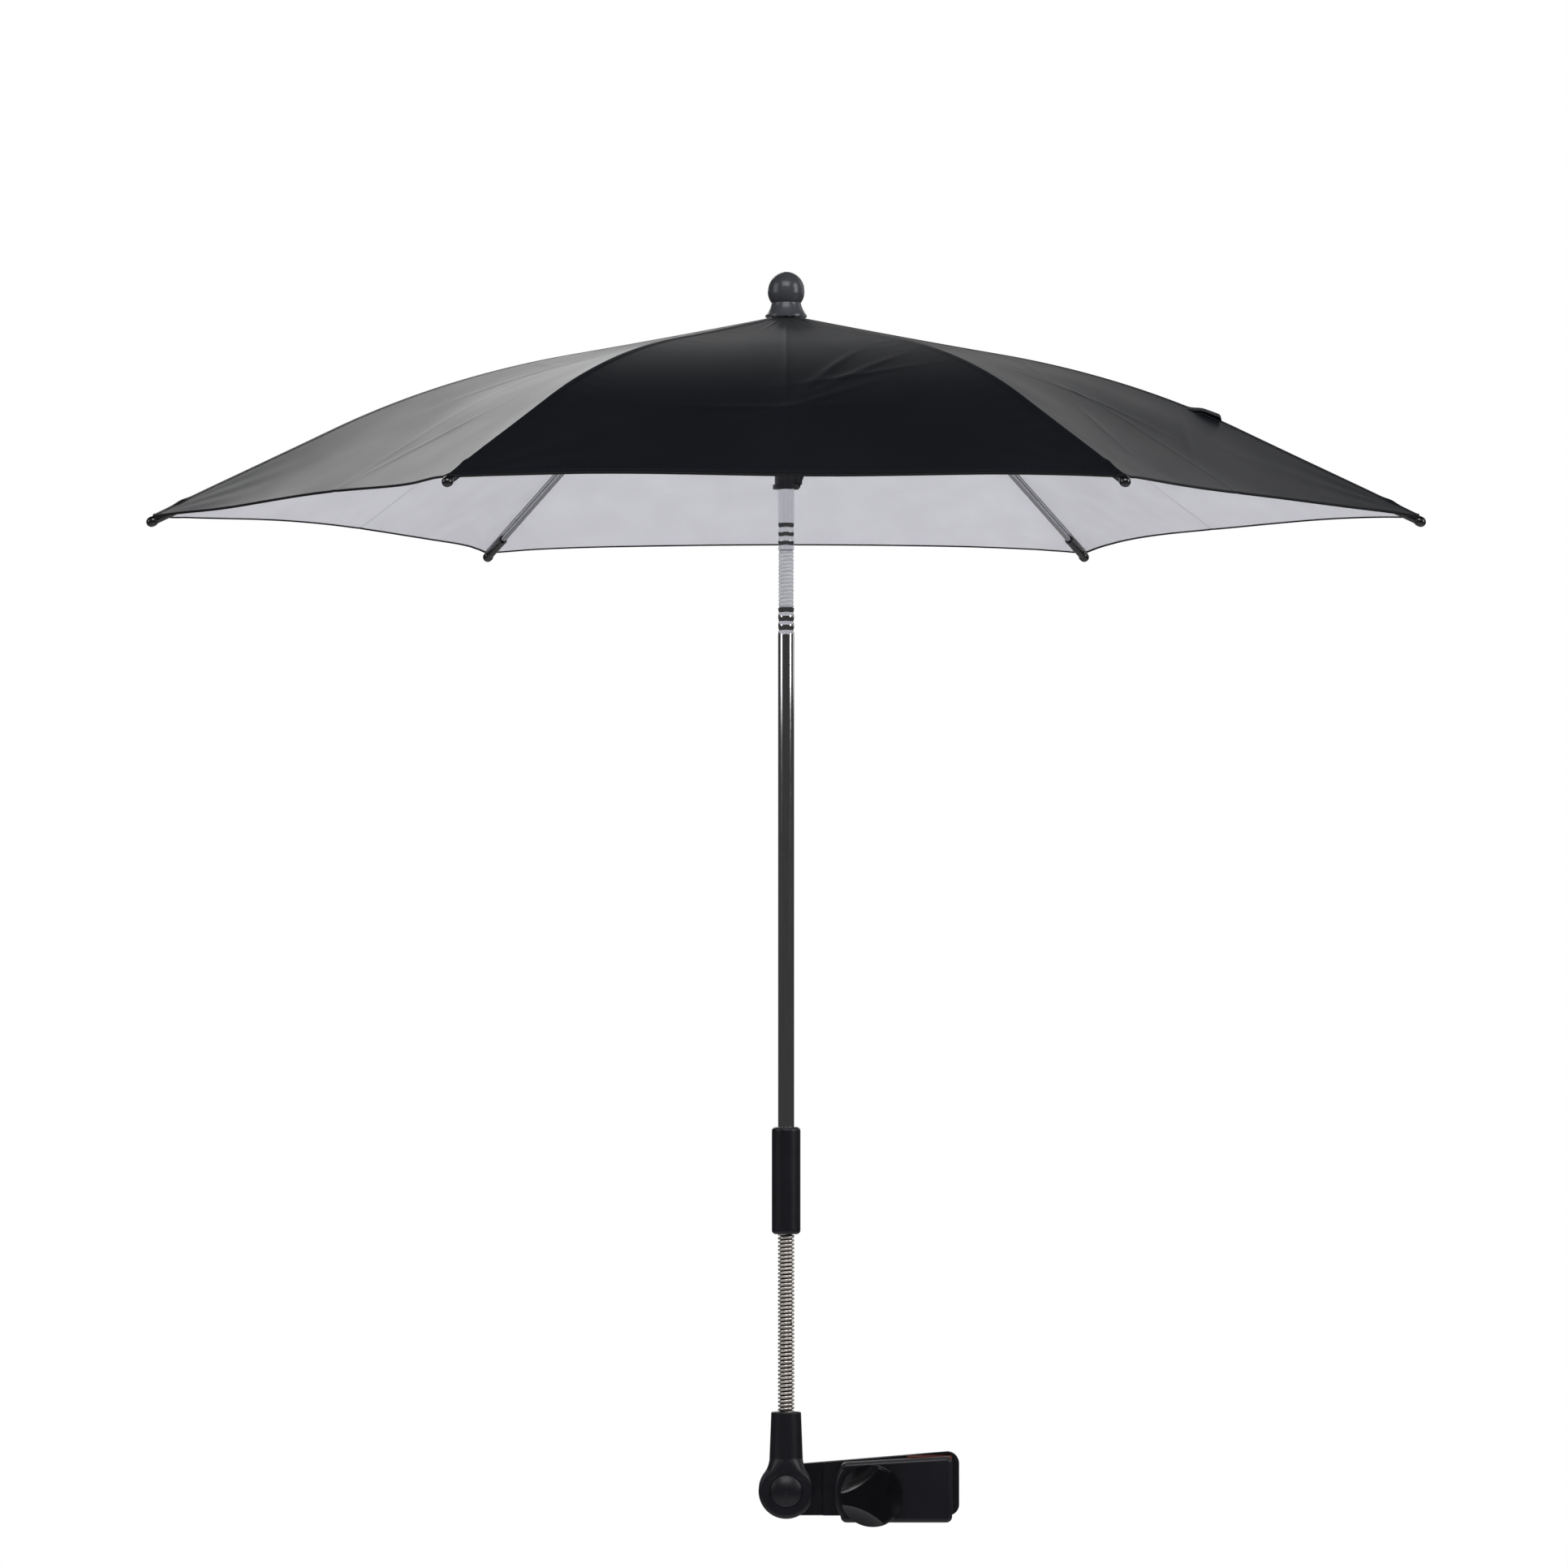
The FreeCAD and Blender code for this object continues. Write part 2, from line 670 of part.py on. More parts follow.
# Clamp, sliding half
front_plate = padded(
    "front_jaw_plate",
    "XZ_Plane",
    [
        ("front_jaw_left + front_jaw_corner", "front_jaw_bottom", "front_jaw_corner", 1),
        ("front_jaw_right - front_jaw_corner", "front_jaw_bottom"),
        ("front_jaw_right", "front_jaw_bottom + front_jaw_corner", "front_jaw_corner", 1),
        ("front_jaw_right", "front_jaw_top + front_jaw_rise - front_jaw_corner"),
        (
            "front_jaw_right - front_jaw_corner", "front_jaw_top + front_jaw_rise",
            "front_jaw_corner", 1,
        ),
        ("front_jaw_left + front_jaw_corner", "front_jaw_top - front_jaw_rise"),
        (
            "front_jaw_left", "front_jaw_top - front_jaw_rise - front_jaw_corner",
            "front_jaw_corner", 1,
        ),
        ("front_jaw_left", "front_jaw_bottom + front_jaw_corner", "front_jaw_bulge", 1),
    ],
    "jaw_depth",
)
put(front_plate, y="- jaw_face")
doc.recompute()
rim = doc.addObject("Part::Fillet", "front_jaw_rim")
rim.Base = front_plate
front_edges = [
    (number, size("jaw_round"), size("jaw_round"))
    for number, edge in enumerate(front_plate.Shape.Edges, start=1)
    if abs(edge.BoundBox.YMin - front_plate.Shape.BoundBox.YMin) < 1e-6
    and edge.BoundBox.YLength < 1e-6
]
rim.Edges = front_edges
front_recess = block(
    "Cylinder", "front_recess", "0", "0", "front_jaw_bottom - 2",
    Radius="liner_r", Height="front_jaw_top - front_jaw_bottom + 8",
)
front_screw_hole = block(
    "Cylinder", "front_screw_hole", "screw_x", "0", "screw_z", TO_VIEWER,
    Radius="screw_r + run_gap", Height="jaw_face + jaw_depth + 2",
)
guide_hole = block(
    "Cylinder", "guide_hole", "guide_x", "0", "screw_z", TO_VIEWER,
    Radius="guide_r + run_gap", Height="jaw_face + guide_depth + 1",
)
front_jaw = cut("clamp_front_jaw", rim, [front_recess, front_screw_hole, guide_hole])
node(front_jaw, "clamp_front_jaw")
liner("front_jaw_pad", -1)

washer_disc = block(
    "Cylinder", "washer_disc", "screw_x", "- jaw_face - jaw_depth", "screw_z", TO_VIEWER,
    Radius="washer_r", Height="washer_wall",
)
washer_hole = block(
    "Cylinder", "washer_hole", "screw_x", "- jaw_face - jaw_depth + 1", "screw_z", TO_VIEWER,
    Radius="screw_r + run_gap", Height="washer_wall + 2",
)
node(cut("knob_washer", washer_disc, [washer_hole]), "knob_washer")

# The knob is turned, then three scoops leave a rounded triangle on its face.
knob_turned = revolved(
    "knob_turned",
    [
        ("screw_r + run_gap", "0"),
        ("knob_r - knob_edge", "0"),
        ("knob_r", "knob_edge", "knob_edge", 1),
        ("knob_r", "knob_depth - knob_edge"),
        ("knob_r - knob_edge", "knob_depth", "knob_edge", 1),
        ("0", "knob_depth"),
        ("0", "knob_depth - knob_cap"),
        ("screw_r + run_gap", "knob_depth - knob_cap"),
    ],
)
scoops = []
for number in range(KNOB_LOBES):
    angle = math.radians(size("scallop_turn") + 360.0 / KNOB_LOBES * number)
    scoops.append(
        block(
            "Sphere", f"knob_scoop_{number}",
            f"scallop_out * {math.cos(angle):.6f}", f"scallop_out * {math.sin(angle):.6f}",
            "knob_depth + scallop_ahead", Radius="scallop_r",
        )
    )
nut_seat = block("Prism", "nut_seat", Circumradius="nut_r + fit_gap", Height="nut_depth")
knob = cut("clamp_knob", knob_turned, scoops + [nut_seat])
node(put(knob, "screw_x", "- knob_back", "screw_z", TO_VIEWER), "clamp_knob")

nut_blank = block("Prism", "nut_blank", Circumradius="nut_r", Height="nut_depth - fit_gap")
nut_bore = block("Cylinder", "nut_bore", z="-1", Radius="screw_r + fit_gap", Height="nut_depth + 2")
nut = cut("knob_nut", nut_blank, [nut_bore])
node(put(nut, "screw_x", "- knob_back", "screw_z", TO_VIEWER), "knob_nut")

# Knuckle
socket_disc = revolved(
    "socket_disc",
    [
        ("0", "- disc_back"),
        ("disc_r", "- disc_back"),
        ("disc_r", "disc_front - disc_edge"),
        ("disc_r - disc_edge", "disc_front", "disc_edge", 1),
        ("0", "disc_front"),
    ],
)
put(socket_disc, turn=TO_VIEWER)
socket_neck = revolved(
    "socket_neck",
    [
        ("0", "neck_root"),
        ("neck_root_r", "neck_root"),
        ("neck_r", "neck_top - neck_edge"),
        ("neck_r - neck_edge", "neck_top", "neck_edge", 1),
        ("0", "neck_top"),
    ],
)
# The round neck flows into the disc by a loft, from a circle to a block as wide as the disc.
flare_sections = []
for number in range(len(FLARE_PROUD)):
    section = doc.addObject("Sketcher::SketchObject", f"flare_section_{number}")
    half, front, bend = f"flare_half_{number}", f"flare_front_{number}", f"flare_round_{number}"
    draw_outline(
        section,
        [
            (f"{half} - {bend}", f"- {front}"),
            (half, f"{bend} - {front}", bend, 1),
            (half, f"{front} - {bend}"),
            (f"{half} - {bend}", front, bend, 1),
            (f"{bend} - {half}", front),
            (f"- {half}", f"{front} - {bend}", bend, 1),
            (f"- {half}", f"{bend} - {front}"),
            (f"{bend} - {half}", f"- {front}", bend, 1),
        ],
    )
    flare_sections.append(put(section, z=f"flare_up_{number}"))
socket_flare = doc.addObject("Part::Loft", "socket_flare")
socket_flare.Sections = flare_sections
socket_flare.Solid = True
socket_blank = fused("socket_blank", [socket_disc, socket_neck, socket_flare])
neck_back = block(
    "Box", "neck_back", "- 2 * disc_r", "disc_back", "- 2 * disc_r",
    Length="4 * disc_r", Width="disc_r", Height="neck_top + 4 * disc_r",
)
button_bore = block(
    "Cylinder", "button_bore", "0", "- web_front", "0", TO_VIEWER,
    Radius="button_r + seat_gap", Height="disc_front + 2",
)
web_hole = block(
    "Cylinder", "web_hole", "0", "- web_front - 1", "0", ALONG_Y,
    Radius="pin_r + seat_gap", Height="web_front + web_back + 2",
)
leg_holes = []
for number in range(BUTTON_LEGS):
    angle = math.radians(90 + 360.0 / BUTTON_LEGS * number)
    leg_holes.append(
        block(
            "Cylinder", f"leg_hole_{number}",
            f"leg_out * {math.cos(angle):.6f}", "- web_front - 1", f"leg_out * {math.sin(angle):.6f}",
            ALONG_Y, Radius="leg_r + seat_gap", Height="web_front + web_back + 2",
        )
    )
neck_bore = block(
    "Cylinder", "neck_bore", "0", "0", "neck_top - neck_seat",
    Radius="neck_coil_r + neck_wire_r + fit_gap", Height="neck_seat + 1",
)
socket_star = lock_star("socket_star", "gear_r + fit_gap", "web_back", "disc_back - web_back + 1")
socket_star.setExpression("Placement.Base.x", None)
socket_star.Placement.Base.x = 0
socket = cut(
    "knuckle_socket",
    socket_blank,
    [neck_back, button_bore, web_hole, neck_bore, socket_star] + leg_holes,
)
node(put(socket, "shaft_x"), "knuckle_socket")

# The button is a domed cup on three legs that push the lock out of the socket.
button_cup = revolved(
    "button_cup",
    [
        ("button_recess_r", "0"),
        ("button_r", "0"),
        ("button_r", "disc_front - button_skirt + button_proud"),
        ("0", "disc_front - button_skirt + button_proud + button_dome", "dome_r", 1),
        ("0", "button_recess"),
        ("button_recess_r", "button_recess"),
    ],
)
legs = []
for number in range(BUTTON_LEGS):
    angle = math.radians(90 + 360.0 / BUTTON_LEGS * number)
    legs.append(
        block(
            "Cylinder", f"button_leg_{number}",
            f"leg_out * {math.cos(angle):.6f}", f"leg_out * {math.sin(angle):.6f}",
            "- button_skirt - disc_back + gear_grip + seat_gap",
            Radius="leg_r", Height="button_skirt + disc_back - gear_grip - seat_gap + 1",
        )
    )
button = fused("knuckle_button", [button_cup] + legs)
node(put(button, "shaft_x", "- button_skirt", "0", TO_VIEWER), "knuckle_button")

gear_star = lock_star("gear_star", "gear_r", "disc_back - gear_grip", "gear_wall")
gear_bore = block(
    "Cylinder", "gear_bore", "shaft_x", "disc_back - gear_grip - 1", "0", ALONG_Y,
    Radius="pin_r + seat_gap", Height="gear_wall + 2",
)
gear_pocket = block(
    "Cylinder", "gear_pocket_cut", "shaft_x", "disc_back - gear_grip + gear_wall - gear_pocket", "0", ALONG_Y,
    Radius="gear_pocket_r", Height="gear_pocket + 1",
)
node(cut("lock_gear", gear_star, [gear_bore, gear_pocket]), "lock_gear")

button_spring = coil("button_spring", "button_coil_r", "button_wire_r", "button_pitch", "button_coil_length")
node(put(button_spring, "shaft_x", "button_coil_start", "0", ALONG_Y), "button_spring")

# Bendable neck, grip and tubes
neck_spring = coil("neck_spring", "neck_coil_r", "neck_wire_r", "neck_pitch", "neck_length")
node(put(neck_spring, "shaft_x", "0", "neck_start"), "neck_spring")

grip = revolved(
    "grip_sleeve",
    [
        ("neck_coil_r + neck_wire_r + fit_gap", "grip_bottom"),
        ("grip_r - grip_edge", "grip_bottom"),
        ("grip_r", "grip_bottom + grip_edge", "grip_edge", 1),
        ("grip_r", "grip_top - grip_edge"),
        ("grip_r - grip_edge", "grip_top", "grip_edge", 1),
        ("tube_r + fit_gap", "grip_top"),
        ("tube_r + fit_gap", "grip_bottom + neck_seat"),
        ("neck_coil_r + neck_wire_r + fit_gap", "grip_bottom + neck_seat"),
    ],
)
node(put(grip, "shaft_x"), "grip_sleeve")


def tube(name, length, base, turn):
    """A thin tube from its end at the tilt joint, with rolled beads near that end."""
    creases = [
        ("tube_r - bead_depth", f"{number + 0.5} * bead_step", "bead_arc", 1) for number in range(BEADS)
    ]
    turned = revolved(
        name,
        [("tube_r - tube_wall", "0"), ("tube_r", "0")]
        + creases
        + [
            ("tube_r", f"{BEADS} * bead_step", "bead_arc", 1),
            ("tube_r", length),
            ("tube_r - tube_wall", length),
        ],
    )
    return node(put(turned, "shaft_x", "0", base, turn), name)


tube("lower_tube", "lower_tube_length", "tilt_bottom", about((1, 0, 0), 180))
tube("upper_tube", "upper_tube_length", "tilt_top", None)


def plug(name, base, turn):
    """A plug in a tube end, with a stub inside the tilt spring."""
    turned = revolved(
        name,
        [
            ("tube_r - tube_wall - fit_gap", "- plug_depth"),
            ("tube_r - tube_wall - fit_gap", "0"),
            ("tilt_coil_r - tilt_wire_r - seat_gap", "0"),
            ("tilt_coil_r - tilt_wire_r - seat_gap", "plug_stub - plug_nose"),
            ("tilt_coil_r - tilt_wire_r - seat_gap - plug_nose", "plug_stub"),
            ("0", "plug_stub"),
            ("0", "- plug_depth"),
        ],
    )
    return node(put(turned, "shaft_x", "0", base, turn), name)


plug("tilt_plug_lower", "tilt_bottom", None)
plug("tilt_plug_upper", "tilt_top", about((1, 0, 0), 180))

tilt_spring = coil("tilt_spring", "tilt_coil_r", "tilt_wire_r", "tilt_pitch", "tilt_length")
node(put(tilt_spring, "shaft_x", "0", "tilt_start"), "tilt_spring")


# Crown, runner and finial
def notches(name, pivot, below, above, half, outer):
    """Six slots that the eyes of ribs or stretchers turn in, open above, below and outward."""
    slots = []
    for number in range(RIBS):
        slot = doc.addObject("Part::Box", f"{name}_slot_{number}")
        slot.setExpression("Length", bound(f"{outer} + 2 - notch_floor_r"))
        slot.setExpression("Width", bound(f"2 * {half}"))
        slot.setExpression("Height", bound(f"{below} + {above} + 2"))
        turn = about((0, 0, 1), number * 360.0 / RIBS)
        slot.Placement = FreeCAD.Placement(
            turn.multVec(FreeCAD.Vector(size("notch_floor_r"), -size(half), 0)), turn
        )
        slot.setExpression("Placement.Base.z", bound(f"{pivot} - {below} - 1"))
        slots.append(slot)
    return fused(name, slots)


def ring_groove(name, pivot, above):
    """An open groove for a wire ring."""
    wall = block(
        "Cylinder", name + "_wall", z=f"{pivot} - ring_wire_r",
        Radius="ring_r + ring_wire_r + fit_gap", Height=f"ring_wire_r + {above} + 1",
    )
    core = block(
        "Cylinder", name + "_core", z=f"{pivot} - ring_wire_r - 1",
        Radius="ring_r - ring_wire_r - fit_gap", Height=f"ring_wire_r + {above} + 3",
    )
    return cut(name, wall, [core])


crown_disc = block(
    "Cylinder", "crown_disc", z="pivot_z - crown_below", Radius="crown_r", Height="crown_below + crown_above",
)
crown_sleeve = block(
    "Cylinder", "crown_sleeve_blank", z="pivot_z - crown_below - crown_sleeve",
    Radius="crown_sleeve_r", Height="crown_sleeve + 1",
)
crown_bore = block(
    "Cylinder", "crown_bore", z="pivot_z - crown_below - crown_sleeve - 1",
    Radius="tube_r + fit_gap", Height="crown_below + crown_sleeve + crown_above + 2",
)
crown = cut(
    "crown",
    fused("crown_blank", [crown_disc, crown_sleeve]),
    [
        crown_bore,
        notches("crown_notches", "pivot_z", "crown_below", "crown_above", "rib_slot_half", "crown_r"),
        ring_groove("crown_groove", "pivot_z", "crown_above"),
    ],
)
node(put(crown, "shaft_x"), "crown")
node(
    block("Torus", "crown_wire", "shaft_x", "0", "pivot_z", Radius1="ring_r", Radius2="ring_wire_r"),
    "crown_wire",
)

finial = revolved(
    "finial",
    [
        ("tube_r + fit_gap", "0"),
        ("finial_base_r", "0"),
        ("finial_base_r", "finial_rim"),
        ("finial_neck_r", "finial_neck", "finial_sweep", -1),
        ("finial_ball_r", "finial_rise - finial_ball_r", "finial_ball_r", 1),
        ("0", "finial_rise", "finial_ball_r", 1),
        ("0", "finial_bore"),
        ("tube_r + fit_gap", "finial_bore"),
    ],
)
node(put(finial, "shaft_x", "0", "finial_z"), "finial")

runner_ring = block(
    "Cylinder", "runner_ring", z="- runner_below", Radius="runner_r", Height="runner_below + runner_above",
)
runner_sleeve = block(
    "Cylinder", "runner_sleeve", z="- runner_drop", Radius="runner_sleeve_r", Height="runner_drop",
)
runner_flange = block(
    "Cylinder", "runner_flange_ring", z="- runner_drop", Radius="runner_flange_r", Height="runner_flange",
)
catch_cheek = block(
    "Box", "catch_cheeks", "0", "- catch_half - catch_cheek", "- catch_pin_drop - catch_cheek_half",
    Length="catch_pin_out + catch_cheek_rim", Width="2 * catch_half + 2 * catch_cheek",
    Height="2 * catch_cheek_half",
)
runner_bore = block(
    "Cylinder", "runner_bore", z="- runner_drop - 1",
    Radius="tube_r + run_gap", Height="runner_drop + runner_above + 2",
)
# The window lets the nose through to the tube, and keeps a wall behind the spring.
catch_window = block(
    "Box", "catch_window", "catch_seat_out", "- catch_half - seat_gap", "- runner_drop - 1",
    Length="catch_out", Width="2 * catch_half + 2 * seat_gap",
    Height="runner_drop + 1 - runner_below",
)
nose_window = block(
    "Box", "nose_window", "0", "- catch_half - seat_gap", "- runner_drop - 1",
    Length="catch_out", Width="2 * catch_half + 2 * seat_gap",
    Height="runner_drop + 1 - catch_pin_drop - catch_drop + 2 * catch_nose",
)
catch_pin_hole = block(
    "Cylinder", "catch_pin_hole", "catch_pin_out", "- catch_half - catch_cheek - 1", "- catch_pin_drop",
    ALONG_Y,
    Radius="catch_pin_r + fit_gap", Height="2 * catch_half + 2 * catch_cheek + 2",
)
runner = cut(
    "runner",
    fused("runner_blank", [runner_ring, runner_sleeve, runner_flange, catch_cheek]),
    [
        runner_bore,
        notches("runner_notches", "0", "runner_below", "runner_above", "strut_slot_half", "runner_r"),
        ring_groove("runner_groove", "0", "runner_above"),
        catch_window,
        nose_window,
        catch_pin_hole,
    ],
)
node(put(runner, "shaft_x", "0", "runner_z"), "runner")
node(
    block("Torus", "runner_wire", "shaft_x", "0", "runner_z", Radius1="ring_r", Radius2="ring_wire_r"),
    "runner_wire",
)

# The catch rocks on a pin: pressing its top draws its nose away from the tube.
catch_lever = padded(
    "catch_lever",
    "XZ_Plane",
    [
        ("tube_r + run_gap", "- catch_drop"),
        ("catch_low_out", "- catch_drop"),
        ("catch_out", "catch_rise - catch_lean"),
        ("catch_out - catch_bevel", "catch_rise"),
        ("catch_pin_out + catch_arm", "catch_rise"),
        ("catch_pin_out + catch_arm", "catch_arm_low"),
        ("catch_pin_out - catch_spine", "0.5 * catch_arm_low"),
        ("catch_pin_out - catch_spine", "- catch_drop + catch_nose"),
        ("tube_r + run_gap", "- catch_drop + catch_nose"),
    ],
    "2 * catch_half",
    True,
)
catch_pin = block(
    "Cylinder", "catch_pin", "catch_pin_out", "- catch_half - catch_cheek", "0", ALONG_Y,
    Radius="catch_pin_r", Height="2 * catch_half + 2 * catch_cheek",
)
catch = fused("runner_catch", [catch_lever, catch_pin])
node(put(catch, "shaft_x", "0", "runner_z - catch_pin_drop"), "runner_catch")

catch_spring = coil("catch_spring", "catch_coil_r", "catch_wire_r", "catch_pitch", "catch_coil_length")
node(
    put(
        catch_spring, "shaft_x + catch_coil_start", "0", "runner_z - catch_pin_drop + catch_coil_up", ALONG_X,
    ),
    "catch_spring",
)


# Ribs, clips, stretchers, tips and cloth, once for each rib
def spread(thing, number):
    """Stand a piece that is drawn in the plane of the first rib at another rib."""
    return put(thing, "shaft_x", "0", "0", about((0, 0, 1), number * 360.0 / RIBS))


def bent_line(sketch, start, corner, end, radius):
    """Two straight lines through a corner point, joined by a tangent arc."""
    spots = [FreeCAD.Vector(size(x), size(y), 0) for x, y in (start, corner, end)]
    into = (spots[1] - spots[0]).normalize()
    out = (spots[2] - spots[1]).normalize()
    half = into.getAngle(out) / 2
    reach = size(radius) * math.tan(half)
    first, last = spots[1] - into * reach, spots[1] + out * reach
    centre = first + FreeCAD.Vector(into.y, -into.x, 0) * size(radius)
    turn = [math.atan2(p.y - centre.y, p.x - centre.x) for p in (last, first)]
    circle = Part.Circle(centre, FreeCAD.Vector(0, 0, 1), size(radius))
    base = sketch.GeometryCount
    sketch.addGeometry(Part.LineSegment(spots[0], first), False)
    sketch.addGeometry(Part.ArcOfCircle(circle, turn[0], turn[1]), False)
    sketch.addGeometry(Part.LineSegment(last, spots[2]), False)
    sketch.addGeometry(Part.Point(spots[1]), True)
    sketch.addConstraint(Sketcher.Constraint("Tangent", base, 2, base + 1, 2))
    sketch.addConstraint(Sketcher.Constraint("Tangent", base + 1, 1, base + 2, 1))
    sketch.addConstraint(Sketcher.Constraint("PointOnObject", base + 3, 1, base))
    sketch.addConstraint(Sketcher.Constraint("PointOnObject", base + 3, 1, base + 2))
    held = sketch.addConstraint(Sketcher.Constraint("Radius", base + 1, size(radius)))
    sketch.setExpression(f"Constraints[{held}]", bound(radius))
    pin_point(sketch, base, 1, *start)
    pin_point(sketch, base + 3, 1, *corner)
    pin_point(sketch, base + 2, 2, *end)
    return base


def make_rib(number):
    name = f"rib_{number + 1}"
    body = new_body(name)
    path = new_sketch(body, name + "_path", "XZ_Plane")
    bent_line(
        path, ("ring_r", "pivot_z"), ("rib_corner_out", "rib_corner_z"),
        ("rib_end_out", "rib_end_z"), "rib_bend_r",
    )
    section = new_sketch(body, name + "_section", "YZ_Plane")
    section.AttachmentOffset = FreeCAD.Placement(
        FreeCAD.Vector(0, 0, size("ring_r")), FreeCAD.Rotation()
    )
    section.setExpression("AttachmentOffset.Base.z", bound("ring_r"))
    circle = Part.Circle(FreeCAD.Vector(0, size("pivot_z"), 0), FreeCAD.Vector(0, 0, 1), size("rib_r"))
    section.addGeometry(circle, False)
    held = section.addConstraint(Sketcher.Constraint("Radius", 0, size("rib_r")))
    section.setExpression(f"Constraints[{held}]", bound("rib_r"))
    pin_point(section, 0, 3, "0", "pivot_z")
    wire = body.newObject("PartDesign::AdditivePipe", name + "_wire")
    wire.Profile = section
    wire.Spine = (path, ["Edge1", "Edge2", "Edge3"])
    eye = new_sketch(body, name + "_eye_outline", "XZ_Plane")
    pivot = FreeCAD.Vector(size("ring_r"), size("pivot_z"), 0)
    upward = FreeCAD.Vector(0, 0, 1)
    eye.addGeometry(Part.Circle(pivot, upward, size("eye_r")), False)
    held = eye.addConstraint(Sketcher.Constraint("Radius", 0, size("eye_r")))
    eye.setExpression(f"Constraints[{held}]", bound("eye_r"))
    pin_point(eye, 0, 3, "ring_r", "pivot_z")
    pad = body.newObject("PartDesign::Pad", name + "_eye")
    pad.Profile = eye
    pad.SideType = "Symmetric"
    pad.setExpression("Length", bound("2 * rib_r"))
    hole = new_sketch(body, name + "_hole_outline", "XZ_Plane")
    hole.addGeometry(Part.Circle(pivot, upward, size("ring_wire_r + seat_gap")), False)
    held = hole.addConstraint(Sketcher.Constraint("Radius", 0, size("ring_wire_r + seat_gap")))
    hole.setExpression(f"Constraints[{held}]", bound("ring_wire_r + seat_gap"))
    pin_point(hole, 0, 3, "ring_r", "pivot_z")
    bore = body.newObject("PartDesign::Pocket", name + "_hole")
    bore.Profile = hole
    bore.SideType = "Symmetric"
    bore.setExpression("Length", bound("2 * rib_r + 2"))
    return node(spread(body, number), name)


def make_clip(number):
    """A sprung clip round the rib, forked below for the stretcher's eye and its rivet."""
    name = f"rib_joint_{number + 1}"
    half = "strut_r + fit_gap + clip_wall"
    saddle = block(
        "Box", name + "_saddle", "- 0.5 * clip_length", f"- {half.replace('+', '-')}", "- clip_drop - eye_r",
        Length="clip_length", Width=f"2 * strut_r + 2 * fit_gap + 2 * clip_wall",
        Height="clip_drop + eye_r + clip_rise",
    )
    rib_hole = block(
        "Cylinder", name + "_rib_hole", "- clip_length", "0", "0", ALONG_X,
        Radius="rib_r + seat_gap", Height="2 * clip_length",
    )
    fork = block(
        "Box", name + "_fork", "- clip_length", "- strut_r - fit_gap", "- clip_drop - eye_r - 1",
        Length="2 * clip_length", Width="2 * strut_r + 2 * fit_gap", Height="2 * eye_r + seat_gap + 1",
    )
    rivet = block(
        "Cylinder", name + "_rivet", "0", f"- {half.replace('+', '-')}", "- clip_drop", ALONG_Y,
        Radius="rivet_r", Height="2 * strut_r + 2 * fit_gap + 2 * clip_wall",
    )
    clip = fused(name, [cut(name + "_clip", saddle, [rib_hole, fork]), rivet])
    slope = about((0, 1, 0), size("clip_slope"))
    turn = about((0, 0, 1), number * 360.0 / RIBS)
    angle = math.radians(number * 360.0 / RIBS)
    put(
        clip, f"shaft_x + clip_out * {math.cos(angle):.9f}", f"clip_out * {math.sin(angle):.9f}", "clip_z",
        turn.multiply(slope),
    )
    return node(clip, name)


def make_stretcher(number):
    name = f"stretcher_{number + 1}"
    wire = block(
        "Cylinder", name + "_wire", "ring_r", "0", "runner_z", about((0, 1, 0), 90 - strut_slope),
        Radius="strut_r", Height="strut_length",
    )
    ends = (("ring_r", "runner_z", "ring_wire_r"), ("knee_out", "knee_z", "rivet_r"))
    eyes = [
        block(
            "Cylinder", f"{name}_eye_{end}", out, "- strut_r", high, ALONG_Y,
            Radius="eye_r", Height="2 * strut_r",
        )
        for end, (out, high, pin) in enumerate(ends)
    ]
    holes = [
        block(
            "Cylinder", f"{name}_hole_{end}", out, "- 2 * strut_r", high, ALONG_Y,
            Radius=f"{pin} + seat_gap", Height="4 * strut_r",
        )
        for end, (out, high, pin) in enumerate(ends)
    ]
    strut = cut(name, fused(name + "_blank", [wire] + eyes), holes)
    return node(spread(strut, number), name)


def make_tip(number):
    name = f"tip_{number + 1}"
    cap = revolved(
        name,
        [
            ("rib_r + fit_gap", "0"),
            ("tip_lip_r", "0"),
            ("tip_lip_r", "tip_lip"),
            ("tip_r", "tip_lip + 1"),
            ("tip_r", "tip_length - 2 * tip_ball_r"),
            ("tip_ball_r", "tip_length - tip_ball_r", "tip_ball_r + 1", 1),
            ("0", "tip_length", "tip_ball_r", 1),
            ("0", "tip_bore"),
            ("rib_r + fit_gap", "tip_bore"),
        ],
    )
    angle = math.radians(number * 360.0 / RIBS)
    turn = about((0, 0, 1), number * 360.0 / RIBS)
    lean = about((0, 1, 0), 90 + math.degrees(outer_slope))
    put(
        cap, f"shaft_x + tip_start_out * {math.cos(angle):.9f}", f"tip_start_out * {math.sin(angle):.9f}",
        "tip_start_z", turn.multiply(lean),
    )
    return node(cap, name)


